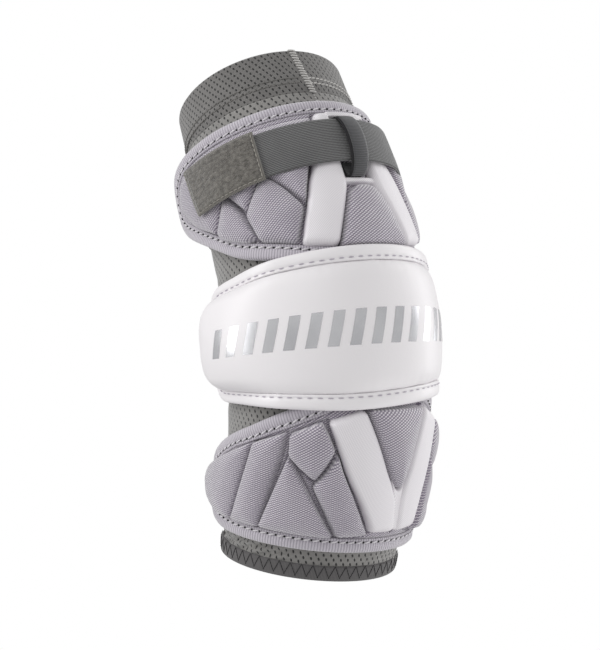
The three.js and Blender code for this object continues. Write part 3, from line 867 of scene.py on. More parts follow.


# With a weave, a finish's deep tone is painted shade in the weave's low places and holes; it also
# gives the darker side of the random unevenness.
FINISHES = (
    Finish("sleeve mesh", 0x908E8B, 0x232322, 0.9, Weave.MESH, 0.35, 0.7, scale=0.9),
    Finish("collar mesh", 0x797775, 0x1E1E1E, 0.9, Weave.MESH, 0.35, 0.4),
    Finish("hem elastic", 0x636161, 0x4E4C4D, 0.85, Weave.TAPE, 0.05, 0.2, scale=1.7),
    Finish("pad cloth", 0xDED8DF, 0x786F81, 0.8, Weave.RIB, 0.34, 1.0, 0.55),
    Finish("pad lining", 0x6E6C70, 0x3A3A3C, 0.9, Weave.MESH, 0.2),
    Finish("binding tape", 0xC4BFC7, 0xA29CA6, 0.78, Weave.TAPE, 0.2, 0.8),
    Finish("strap webbing", 0x747474, 0x272728, 0.82, Weave.WEBBING, 0.3, 0.35),
    Finish("keeper webbing", 0x49494C, 0x303032, 0.6, Weave.TAPE, 0.1, 0.3, scale=1.5),
    Finish("tab tape", 0x7D7A74, 0x5A5751, 0.9, Weave.TAPE, 0.1, 0.5, scale=1.9),
    Finish("hook nap", 0x78746D, 0x3D3933, 0.95, Weave.NAP, 0.7, 0.8),
    Finish("white leather", 0xEEEBED, 0xDDDADE, 0.42, coat=0.15, unevenness=0.05, grain=0.05),
    Finish("white moulded", 0xF1EEF0, 0xDEDADF, 0.48, Weave.TWILL, 0.035, unevenness=0.05),
    Finish("grey thread", 0xDAD7DB, 0xB5B1B6, 0.7, sheen=0.3),
    Finish("seam thread", 0xC4C2BF, 0x9A9896, 0.75, sheen=0.3),
    Finish("shadow thread", 0x6B6966, 0x4F4D4B, 0.8, sheen=0.3),
    Finish("tab thread", 0x9C9890, 0x6A6864, 0.8, sheen=0.3),
    Finish("mauve thread", 0xB4ADB9, 0x99919F, 0.7, sheen=0.3),
    # Near-black: painted shade in the holes between stitches and on the keeper's inner ply, and the
    # hem's dark zigzag thread.
    Finish("painted shade and dark thread", 0x242325, 0x18181A, 0.95),
    Finish("silver foil", 0xDCDCDF, 0xA4A4AA, 0.27, metallic=1.0, unevenness=0.3),
)


class Library:
    """The scene's materials by name."""

    def __init__(self) -> None:
        """Builds every finish."""
        weaves = {weave: WeaveGroup(weave).tree for weave in Weave}
        self.materials = {finish.name: finish.build(weaves) for finish in FINISHES}

    def __getitem__(self, name: str) -> bpy.types.Material:
        """The material of that name."""
        return self.materials[name]


# Padded pieces


@dataclass(frozen=True)
class PadForm:
    """The measures of a foam pad; its tables hold shares of its reach and height."""

    bottom: float
    top: float
    reach: float
    outline: tuple[Place, ...]
    flare: float = 0.0
    shift: float = 0.0
    twist: float = 0.0
    slim: float = 0.0

    SEAT = 0.5
    FLARE_START = 0.65

    def along(self, up: float) -> float:
        """The distance along the arm of a share of the height."""
        return self.bottom + (self.top - self.bottom) * up

    def middle(self, up: float) -> float:
        """The turn of the pad's middle, which its frame shifts."""
        return self.shift + self.twist * (1 - up)

    def flat(self, places: Edge) -> Array:
        """Places on the arm in flat millimetres."""
        return np.array([(turn * float(Arm.degree(along)), along) for turn, along in places])

    def place(self, across: float, up: float) -> Place:
        """A share as turn and distance along the arm."""
        return (across * self.reach, self.along(up))

    def opposite(self, across: float, up: float) -> Place:
        """The place on the +X side that mirrors one of the -X side."""
        return (2 * self.middle(up) * (1 - abs(across)) - across * self.reach, self.along(up))

    def shifted(self, across: float, up: float) -> Place:
        """A place given in shares from the shifted middle."""
        return (self.middle(up) + across * self.reach, self.along(up))

    def edge(self) -> Array:
        """The outline in flat millimetres, at steps of one."""
        left = self.flat([self.place(*share) for share in self.outline])
        return smooth_loop(np.concatenate([left, left[::-1] * (-1, 1)]), 1.0)

    def lift(self, turn: Array) -> Array:
        """How far the pad's -X end springs off the sleeve."""
        return self.flare * ease(-np.asarray(turn) / self.reach, self.FLARE_START, 1.0)

    def height(self, turn: Array, height: Array) -> Array:
        """A height over the pad's underside as one over the sleeve."""
        return self.SEAT + self.lift(turn) + height

    def line(self, x: Array, y: Array, height: Array) -> ArmPath:
        """A flat line as a line on the arm at a height over the pad's underside."""
        turn = x / Arm.degree(y)
        return ArmPath(turn, y, self.height(turn, height))

    def points(self, x: Array, y: Array, height: Array) -> Array:
        """Flat places as points at a height over the pad's underside."""
        turn = x / Arm.degree(y)
        return Arm.point(turn, y, self.height(turn, height))


UPPER_PAD = PadForm(
    bottom=26, top=124.5, reach=130, flare=6.5, shift=-4, slim=2.0,
    outline=(
        (-0.4, 1.018), (-0.8, 1.02), (-0.93, 0.96), (-1, 0.805), (-0.985, 0.67), (-0.94, 0.57),
        (-0.855, 0.45), (-0.745, 0.305), (-0.63, 0.185), (-0.52, 0.12), (-0.43, 0.08),
        (-0.345, 0.045), (-0.215, 0.01),
    ),
)
LOWER_PAD = PadForm(
    bottom=-120.5, top=-28, reach=140, twist=7,
    outline=(
        (-0.2, 0.98), (-0.32, 0.915), (-0.42, 0.85), (-0.49, 0.805), (-0.58, 0.74),
        (-0.695, 0.655), (-0.865, 0.48), (-0.98, 0.33), (-0.985, 0.18), (-0.885, 0.06),
        (-0.79, 0.015), (-0.69, 0), (-0.35, 0),
    ),
)
UPPER_CELLS = {
    "end": (
        (-0.69, 0.385), (-0.785, 0.51), (-0.85, 0.69), (-0.82, 0.83), (-0.66, 0.855), (-0.61, 0.56),
    ),
    "wedge": ((-0.6, 0.55), (-0.515, 0.25), (-0.555, 0.24), (-0.66, 0.32), (-0.675, 0.37)),
    "notch": ((-0.585, 0.565), (-0.65, 0.865), (-0.46, 0.865), (-0.43, 0.58), (-0.52, 0.415)),
    "shield": (
        (-0.425, 0.555), (-0.4, 0.54), (-0.305, 0.33), (-0.36, 0.165), (-0.49, 0.22),
        (-0.52, 0.375),
    ),
    "kite": ((-0.41, 0.58), (-0.44, 0.865), (-0.17, 0.865), (-0.24, 0.53), (-0.285, 0.365)),
}
UPPER_CENTRE = (
    (-0.148, 0.105), (-0.105, 0.26), (-0.075, 0.34), (-0.035, 0.39), (0.035, 0.39), (0.075, 0.34),
    (0.105, 0.26), (0.148, 0.105),
)
LOWER_CELLS = {
    "end": (
        (-0.565, 0.63), (-0.705, 0.505), (-0.84, 0.38), (-0.875, 0.285), (-0.84, 0.175),
        (-0.74, 0.115), (-0.65, 0.115),
    ),
    "slant": ((-0.545, 0.635), (-0.43, 0.705), (-0.515, 0.115), (-0.63, 0.115)),
    "peak": ((-0.405, 0.575), (-0.495, 0.118), (-0.225, 0.112)),
    "kite": ((-0.4, 0.71), (-0.295, 0.78), (-0.245, 0.645), (-0.305, 0.48), (-0.4, 0.6)),
    "blade": ((-0.225, 0.605), (-0.09, 0.14), (-0.195, 0.12), (-0.3, 0.425)),
}
LOWER_CENTRE = ((-0.115, 0.85), (0.125, 0.86), (0.046, 0.45), (0.026, 0.45))
# Rows of a bar from end to end: the places of its two edges
UPPER_LEG = (
    ((-0.31, 0.13), (-0.165, 0.1)),
    ((-0.281, 0.245), (-0.119, 0.245)),
    ((-0.254, 0.325), (-0.092, 0.325)),
    ((-0.231, 0.405), (-0.065, 0.405)),
    ((-0.192, 0.53), (-0.062, 0.53)),
    ((-0.147, 0.7), (-0.052, 0.7)),
    ((-0.12, 0.83), (-0.045, 0.83)),
    ((-0.11, 0.912), (-0.042, 0.912)),
)
LOWER_LEFT_LEG = (
    ((-0.273, 0.8), (-0.137, 0.866)),
    ((-0.229, 0.655), (-0.08, 0.71)),
    ((-0.176, 0.48), (-0.002, 0.485)),
    ((-0.128, 0.35), (0.033, 0.36)),
    ((-0.077, 0.19), (0.046, 0.18)),
    ((-0.066, 0.14), (0.047, 0.138)),
)
LOWER_RIGHT_LEG = (
    ((0.15, 0.88), (0.285, 0.8)),
    ((0.107, 0.715), (0.262, 0.655)),
    ((0.066, 0.49), (0.236, 0.49)),
    ((0.053, 0.365), (0.212, 0.35)),
    ((0.055, 0.18), (0.182, 0.19)),
    ((0.056, 0.138), (0.174, 0.145)),
)
LOWER_WEB = (
    ((0.006, 0.425), (0.072, 0.425)), ((0.016, 0.34), (0.07, 0.34)), ((0.026, 0.15), (0.074, 0.15)),
)
LINING = 6.6


@dataclass(frozen=True)
class EdgeTape:
    """A tape folded over a padded piece's edge, and how its stitches draw it in."""

    section: tuple[Place, ...]  # millimetres in from the edge, and height
    row: float
    row_height: float
    stitches: StitchStyle
    pucker: float
    pucker_width: float
    wave: float
    wave_length: float
    seed: float
    counted: bool = False  # its texture coordinates across count the section's points

    def wrap(self, piece: "PadForm | ElbowCap") -> Surface:
        """Carries the section round a piece.

        Args:
            piece: What it binds.

        Returns:
            The tape's surface.
        """
        edge = piece.edge()
        walk = np.arange(len(edge) + 1.0)
        beat = 0.5 + 0.5 * np.sin(walk[:-1] * FULL_TURN / self.stitches.pitch)
        rings = []
        for inward, height in self.section:
            line = inset(edge, inward)
            pull = self.pucker * bell(inward - self.row, self.pucker_width) * beat
            wave = self.wave * ripple(walk[:-1], inward * 3, self.wave_length, self.seed)
            rings.append(piece.points(*line.T, height - pull + wave * (height > 2)))
        ring = np.array(self.section + self.section[:1])
        across = np.arange(float(len(ring))) if self.counted else walked(ring)
        surface = Surface()
        surface.grid(np.stack(rings, 1), table(walk, across), (True, True))
        return surface

    def seam(self, piece: "PadForm | ElbowCap") -> ArmPath:
        """The line that its stitches follow round a piece."""
        row = inset(piece.edge(), self.row)
        return piece.line(*np.vstack([row, row[:1]]).T, self.row_height)


PAD_TAPE = EdgeTape(
    section=(
        (0.0, 3.7), (0.15, 5.2), (0.7, 6.5), (1.6, 7.2), (3.0, 7.55), (4.8, 7.5), (6.0, 7.2),
        (6.6, 6.8), (7.0, 6.65), (7.4, 6.8), (8.2, 7.1), (8.9, 7.0), (9.1, 6.4), (9.1, 5.0),
        (8.0, 0.6), (5.0, 0.15), (1.6, 0.15), (0.6, 0.8), (0.15, 2.2),
    ),
    row=7.0, row_height=6.85, stitches=StitchStyle(5.4, 4.3, 0.6, 0.36, 0.6),
    pucker=0.22, pucker_width=1.6, wave=0.1, wave_length=9.0, seed=2.0,
)
CAP_TAPE = EdgeTape(
    section=(
        (0.0, 2.4), (0.15, 3.5), (0.6, 4.4), (1.4, 4.9), (2.6, 5.1), (4.2, 5.1), (5.2, 4.95),
        (5.7, 4.65), (6.0, 4.5), (6.3, 4.6), (6.9, 4.7), (7.5, 4.5), (7.6, 3.4), (7.4, 0.5),
        (4.0, 0.1), (1.5, 0.1), (0.5, 0.6), (0.12, 1.4),
    ),
    row=6.0, row_height=4.72, stitches=StitchStyle(6.0, 3.3, 0.31, 0.2),
    pucker=0.14, pucker_width=1.5, wave=0.12, wave_length=11.0, seed=5.0, counted=True,
)


def bar_edges(rows: tuple, find: Callable[[float, float], Place], sign: int = 1) -> list[Edge]:
    """A bar's two edges as places on the arm; a sign of -1 mirrors it."""
    return [[find(sign * row[k][0], row[k][1]) for row in rows] for k in (0, 1)[::sign]]


def level_edges(low: float, high: float, start: float, stop: float) -> list[Edge]:
    """The edges of a bar round the upper pad, between two shares of its height."""
    shares = np.linspace(start, stop, 8)
    return [[UPPER_PAD.shifted(across, up) for across in shares] for up in (high, low)]


@dataclass(frozen=True)
class Bar:
    """The form of a raised moulded bar with rounded edges."""

    height: float
    radius: float
    dome: float
    corner: float = 3.2
    sag: float = 0.0  # how far the middle of its first end lies below that end's corners

    ROWS = 76
    COLUMNS = 30
    END_CROWD = 0.85
    FOOT = LINING - 0.7
    DOME_RUN = 6.0

    def lay(self, surface: Surface, form: PadForm, edges: list[Edge]) -> None:
        """Adds the bar.

        Args:
            surface: Takes the bar.
            form: The pad it stands on.
            edges: Its two edges, each turn and along from end to end.
        """
        s = np.linspace(0, 1, self.ROWS)
        s = s - self.END_CROWD * np.sin(FULL_TURN * s) / FULL_TURN
        t = (1 - np.cos(np.linspace(0, math.pi, self.COLUMNS))) / 2
        turn, along = (
            np.stack([smoothed(np.array(edge)[:, k], s) for edge in edges]) for k in (0, 1)
        )
        middle = along.mean(0)
        walk = walked(np.stack([turn.mean(0) * Arm.degree(middle), middle], -1))
        wide = np.hypot((turn[1] - turn[0]) * Arm.degree(middle), along[1] - along[0])
        near = np.clip(1 - np.minimum(walk, walk[-1] - walk) / self.corner, 0, 1)
        drawn = (self.corner * (1 - np.sqrt(1 - near**2)) / wide)[:, None]
        across = drawn + (1 - 2 * drawn) * t
        turns, y = (a[0][:, None] * (1 - across) + a[1][:, None] * across for a in (turn, along))
        y = y + self.sag * (2 * t - 1) ** 2 * (1 - s[:, None]) ** 2
        x = turns * Arm.degree(y)
        width = np.hypot(x[:, -1] - x[:, 0], y[:, -1] - y[:, 0])[:, None]
        reach = walked(np.stack([x, y], -1)[:, self.COLUMNS // 2])
        side = np.minimum(t, 1 - t)[None] * width
        end = np.minimum(reach, reach[-1] - reach)[:, None]
        rise = self.height * rounded(side, self.radius) * rounded(end, self.radius * 1.2)
        rise = rise + self.dome * (1 - (2 * t[None] - 1) ** 2) * ease(end, 0, self.DOME_RUN)
        top = form.points(x, y, self.FOOT + rise)
        under = form.points(x[:, ::-1], y[:, ::-1], np.full_like(x, self.FOOT - 0.3))
        down = np.linalg.norm(np.diff(top, axis=0, prepend=top[:1]), axis=2).cumsum(0)
        over = np.linalg.norm(np.diff(top, axis=1, prepend=top[:, :1]), axis=2).cumsum(1)
        coords = np.stack([down, over], -1)
        coords = np.concatenate([coords, coords[:, ::-1], coords[:, :1]], 1)
        surface.grid(np.concatenate([top, under], 1), coords, (False, True))


LEG = Bar(5.1, 3.0, 1.2)
UPPER_BARS = (
    (LEG, bar_edges(UPPER_LEG, UPPER_PAD.shifted)),
    (LEG, bar_edges(UPPER_LEG, UPPER_PAD.shifted, -1)),
    (Bar(3.2, 1.1, 0.2, 1.2), level_edges(0.412, 0.447, -0.1, 0.1)),
    (Bar(4.2, 1.1, 0.2, 1.2), level_edges(0.868, 0.914, -0.06, 0.15)),
)
LOWER_BARS = (
    (LEG, bar_edges(LOWER_LEFT_LEG, LOWER_PAD.place)),
    (LEG, bar_edges(LOWER_RIGHT_LEG, LOWER_PAD.place)),
    (Bar(3.8, 1.6, 0.0, 0.5, 8.0), bar_edges(LOWER_WEB, LOWER_PAD.place)),
)


@dataclass
class FoamPad:
    """One foam pad: its pressed cloth face, edge tape, stitches and white frame."""

    name: str
    form: PadForm
    library: Library
    cells: dict[str, tuple[Place, ...]]
    centre: list[Place]
    bars: tuple[tuple[Bar, list[Edge]], ...]
    pressed_by: Callable[[Array, Array], Array] | None = None

    FACE_INSET = 8.5
    FACE_GRID = (620, 150, 0.3)
    CELL_HEIGHT = 7.8
    CELL_GROWTH = 1.35
    # A cell's wall, shoulder and crown: each a share of its height, gained over a depth
    WALL = (0.32, 0.9)
    SHOULDER = (0.26, 4.0)
    CROWN = (0.42, 11.0)
    # What is taken off the height, the place where most is, and how far it reaches
    CHANNEL = (2.4, -0.3, 0.7)
    BESIDE_FRAME = (3.0, 0.5, 0.8)
    EDGE_DROP = (1.6, 1.8)
    PUCKER = (0.16, 2.2)
    SLIM_FROM = (22, 44)
    UNEVEN = (0.1, 6.0)
    CLOTH_DRIFT = (0.2, 0.28)

    def polygons(self) -> list[Array]:
        """The cells as flat polygons.

        Returns:
            Each cell of the -X side and its mirror image, then the centre cell.
        """
        finds = (self.form.place, self.form.opposite)
        sides = [[find(*at) for at in cell] for cell in self.cells.values() for find in finds]
        return [self.form.flat(places) for places in (*sides, self.centre)]

    def face_height(self, x: Array, y: Array, border: Array) -> Array:
        """The cloth's height: a flat carrier with cells that stand up from it.

        Args:
            x: First flat coordinates.
            y: Second flat coordinates.
            border: Distances to the face's long edges.

        Returns:
            Heights over the pad's underside.
        """
        base = LINING - self.EDGE_DROP[0] * (1 - ease(border, 0.0, self.EDGE_DROP[1]))
        fade = np.exp(-np.clip(border, 0, None) / self.PUCKER[1])
        pull = self.PUCKER[0] * fade * np.sin(x * FULL_TURN / PAD_TAPE.stitches.pitch)
        depths = [depth_in(corners, x, y) for corners in self.polygons()]
        depth = np.max(depths, axis=0) + self.CELL_GROWTH
        crown = 1 - (1 - np.clip(depth / self.CROWN[1], 0, 1)) ** 2
        rise = self.WALL[0] * ease(depth, 0, self.WALL[1]) + self.CROWN[0] * crown
        rise = rise + self.SHOULDER[0] * rounded(depth, self.SHOULDER[1])
        tall = self.CELL_HEIGHT - self.form.slim * ease(x, *self.SLIM_FROM)
        height = base + pull + rise * tall + self.UNEVEN[0] * ripple(x, y, self.UNEVEN[1])
        legs = [self._close_line(edge) for bar, edges in self.bars if bar is LEG for edge in edges]
        beside = distance_to(np.concatenate(legs), x, y)
        for where, (most, place, width) in ((depth, self.CHANNEL), (beside, self.BESIDE_FRAME)):
            height = height - most * bell(where - place, width)
        if self.pressed_by is not None:
            turn = x / Arm.degree(y)
            height = np.minimum(height, self.pressed_by(turn, y) - self.form.height(turn, 0.0))
        return height

    def _close_line(self, places: Edge) -> Array:
        """A flat line through places on the arm, with points close together."""
        line = self.form.flat(places)
        return cut(line, np.arange(0, walked(line)[-1], 0.8))

    def build_face(self) -> None:
        """The pressed cloth over the foam, closed by its lining."""
        x, y, border = fill_outline(inset(self.form.edge(), self.FACE_INSET), *self.FACE_GRID)
        height = self.face_height(x, y, border)
        drift = [side + share * (height - LINING) for side, share in zip((x, y), self.CLOTH_DRIFT)]
        surface = Surface()
        surface.grid(self.form.points(x, y, height), np.stack(drift, -1))
        cloth = self.library["pad cloth"]
        face = surface.build(f"{self.name}_face", cloth, "pad_cloth", closed=False)
        x, y = x[::9, ::9], y[::9, ::9]
        lining = Surface()
        lining.grid(self.form.points(x, y, np.full_like(x, 0.2)), np.stack([x, y], -1))
        plain = self.library["pad lining"]
        lining.build(f"{self.name}_lining", plain, "pad_cloth", closed=False)
        both = ("left", "right")
        sides = [f"{self.name}_cell_{cell}_{side}" for cell in self.cells for side in both]
        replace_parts(face, f"{self.name}_carrier", *sides, f"{self.name}_cell_centre")

    def build_binding(self) -> None:
        """The ribbed tape round the pad and its stitches."""
        slot = "binding_tape"
        surface = PAD_TAPE.wrap(self.form)
        tape = surface.build(f"{self.name}_edge_tape", self.library["binding tape"], slot)
        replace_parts(tape, f"{self.name}_binding")
        # The holes between the stitches are dark blobs of painted shade.
        thread, holes = Surface(), Surface()
        PAD_TAPE.stitches.sew(PAD_TAPE.seam(self.form), thread, holes)
        thread.build(f"{self.name}_stitches", self.library["grey thread"], slot)
        holes.build(f"{self.name}_needle_hole_shade", self.library["painted shade and dark thread"], slot)

    def build_frame(self) -> None:
        """The raised white frame."""
        surface = Surface()
        for bar, edges in self.bars:
            bar.lay(surface, self.form, edges)
        moulded = self.library["white moulded"]
        skin = surface.build(f"{self.name}_frame_skin", moulded, "white_synthetic")
        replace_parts(skin, f"{self.name}_frame")


# The elbow cap


@dataclass
class ElbowCap:
    """The white padded cap, its bound edge, stitches and foil bars."""

    library: Library
    top: float = 35.0
    bottom: float = -41.5
    reach: float = 134.0
    corner: float = 33.0
    crown: float = 16.7
    side_crown: float = 19.0
    on_pads: float = 8.4
    on_sleeve: float = 1.6
    climb: float = 5.5
    inner: float = 7.1

    SIDE = (0.43, 0.68)  # shares of the reach between which it comes down on the sleeve
    DROP = (12, 46)  # turns between which it is drawn closer on the +X side
    EDGE_HEIGHT = 2.5
    EDGE_GAP = 0.5
    ROUNDS = ((0.4, 8.0), (0.6, 32.0))  # the dome's rounds: share of its height, and radius
    FOIL_BARS = 15
    FOIL_TURNS = (-97.0, 47.0)
    FOIL_SIZE = (5.4, 4.2)  # width, and how far a bar leans
    FOIL_LOW = (-13.5, 4.0)  # at the first bar, and how much higher at the last
    FOIL_HIGH = (3.5, 2.5)

    def aside(self, turn: Array) -> Array:
        """0 in front of the arm to 1 at its sides."""
        return ease(np.abs(turn) / self.reach, *self.SIDE)

    def seat(self, turn: Array) -> Array:
        """Height of its underside: up on the pads in front, down on the sleeve at the sides.

        Args:
            turn: Turns in degrees.

        Returns:
            Heights over the sleeve.
        """
        side = self.aside(turn)
        drop = ease(turn, *self.DROP) * (1 - side)
        return self.on_pads + (self.on_sleeve - self.on_pads) * side - drop

    def edge(self) -> Array:
        """Its outline in flat millimetres: a band with round corners and a climbing lower edge.

        Returns:
            Points at steps of one, anticlockwise seen from outside.
        """
        far = self.reach * float(Arm.degree(0))
        arc = np.linspace(0, math.pi / 2, 24)
        corners = ((1, self.top), (-1, self.top), (-1, self.bottom), (1, self.bottom))
        parts = []
        for k, (x, y) in enumerate(corners):
            centre = (x * (far - self.corner), y - math.copysign(self.corner, y))
            angle = arc + k * math.pi / 2
            parts.append(centre + self.corner * np.stack([np.cos(angle), np.sin(angle)], -1))
        x, y = even_loop(np.concatenate(parts), 1.0).T
        climb = self.climb * ease(x / far, -0.3, 0.35) * ease(-y, 0, -self.bottom)
        return np.stack([x, y + climb], -1)

    def line(self, x: Array, y: Array, height: Array) -> ArmPath:
        """A flat line as a line on the arm at a height over the cap's underside."""
        turn = x / Arm.degree(y)
        return ArmPath(turn, y, self.seat(turn) + height)

    def points(self, x: Array, y: Array, height: Array) -> Array:
        """Flat places as points at a height over the cap's underside."""
        turn = x / Arm.degree(y)
        return Arm.point(turn, y, self.seat(turn) + height)

    def dome(self, x: Array, y: Array, border: Array) -> Array:
        """The padded middle's height.

        Args:
            x: First flat coordinates.
            y: Second flat coordinates.
            border: Distances to the middle's edge.

        Returns:
            Heights over the cap's underside.
        """
        turn = x / Arm.degree(y)
        crown = self.crown + (self.side_crown - self.crown) * self.aside(turn)
        crown = crown - self.seat(turn) - 2.0 * ease(turn, *self.DROP)
        tug = np.exp(-np.clip(border, 0, None) / 4.0)
        pucker = 0.1 * np.sin(x * FULL_TURN / CAP_TAPE.stitches.pitch)
        pucker = pucker + (0.12 + 0.3 * ease(x, -20, 50)) * ripple(x, y / 3, 5.5, 3.0)
        profile = sum(share * rounded(border - self.EDGE_GAP, size) for share, size in self.ROUNDS)
        rise = (crown - self.EDGE_HEIGHT) * profile
        return self.EDGE_HEIGHT + rise + tug * pucker * ease(border, 0, 1.0)

    def build_body(self) -> None:
        """The padded leather middle, closed below by its lining."""
        edge = inset(self.edge(), self.inner)
        x, y, _ = fill_outline(edge, 420, 120)
        coords = np.stack([x, y], -1)
        surface, lining = Surface(), Surface()
        surface.grid(self.points(x, y, self.dome(x, y, distance_to(edge, x, y))), coords)
        leather = self.library["white leather"]
        body = surface.build("cap_leather", leather, "white_synthetic", closed=False)
        x, y = x[::6, ::6], y[::6, ::6]
        lining.grid(self.points(x, y, np.full_like(x, 0.2)), coords[::6, ::6])
        lining.build("cap_lining", self.library["pad lining"], "white_synthetic", closed=False)
        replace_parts(body, "elbow_cap")

    def build_binding(self) -> None:
        """The bound edge and its row of stitches."""
        leather = self.library["white leather"]
        binding = CAP_TAPE.wrap(self).build("cap_edge", leather, "white_synthetic")
        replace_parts(binding, "elbow_cap_binding")
        thread = Surface()
        CAP_TAPE.stitches.sew(CAP_TAPE.seam(self), thread)
        thread.build("cap_stitches", self.library["mauve thread"], "white_synthetic")

    def build_foil(self) -> None:
        """A row of slanted foil bars across the dome."""
        surface = Surface()
        edge = inset(self.edge(), self.inner)
        s, t = np.moveaxis(table(np.linspace(0, 1, 8), np.linspace(0, 1, 16)), -1, 0)
        width, lean = self.FOIL_SIZE
        for share in np.linspace(0, 1, self.FOIL_BARS):
            low, high = (first + more * share for first, more in (self.FOIL_LOW, self.FOIL_HIGH))
            middle = self.FOIL_TURNS[0] + (self.FOIL_TURNS[1] - self.FOIL_TURNS[0]) * share
            x = middle + (s - 0.5) * width + lean * (t - 0.5)
            y = low + (high - low) * t
            height = self.dome(x, y, distance_to(edge, x, y)) + 0.1
            surface.grid(self.points(x, y, height), np.stack([x, y], -1))
        foil = self.library["silver foil"]
        surface.build("cap_foil_bars", foil, "white_synthetic", closed=False)


# The strap


@dataclass(frozen=True)
class BandForm:
    """The measures of a flat band laid round the pad."""

    start: float
    stop: float
    low: float
    high: float
    thickness: float
    lift: float = 0.0
    curl: float = 0.25
    slant: float = 0.0  # turn by which its first end leans at the lower edge

    UNEVEN = (0.125, 16.0)

    def section(self) -> tuple[Array, Array, Array]:
        """The band's section with rounded edges.

        Returns:
            Distances along the arm, heights, and a coordinate round the section.
        """
        t = np.linspace(0, 1, 26)
        bend = self.curl * (2 * t - 1) ** 4
        edge = self.thickness / 2
        angle = np.linspace(math.pi / 2, -math.pi / 2, 6)[1:-1]
        out, up = edge * np.cos(angle), edge * np.sin(angle)
        face = self.low + edge + (self.high - self.low - self.thickness) * t
        along = np.concatenate([face, self.high - edge + out, face[::-1], self.low + edge - out])
        height = np.concatenate([
            self.thickness - bend, edge + up - self.curl, -bend[::-1], edge - up - self.curl,
        ])
        round_it = walked(np.stack([along, height], -1))
        return along, height, np.append(round_it, round_it[-1] + edge)

    def points(self, base: Callable[[Array], Array]) -> tuple[Array, Array]:
        """The band laid over heights by turn.

        Args:
            base: The height of what it lies on, for each turn.

        Returns:
            Rings of points from end to end, and their texture coordinates.
        """
        along, height, round_it = self.section()
        turn = np.linspace(self.start, self.stop, round(abs(self.stop - self.start) * 1.1))
        lean = self.slant * (self.high - along) / (self.high - self.low)
        lean = lean * (self.stop - turn[:, None]) / (self.stop - self.start)
        uneven = self.UNEVEN[0] * ripple(turn[:, None], along[None], self.UNEVEN[1], 1.0)
        over = base(turn)[:, None] + self.lift + height + uneven
        points = Arm.point(turn[:, None] + lean, along[None], over)
        tips = (points[:1], points[-1:])
        ends = [ring * 0.02 + ring.mean(1, keepdims=True) * 0.98 for ring in tips]
        reach = np.concatenate([[turn[0] - 1], turn, [turn[-1] + 1]]) * float(Arm.degree(90))
        return np.concatenate([ends[0], points, ends[1]]), table(reach, round_it)


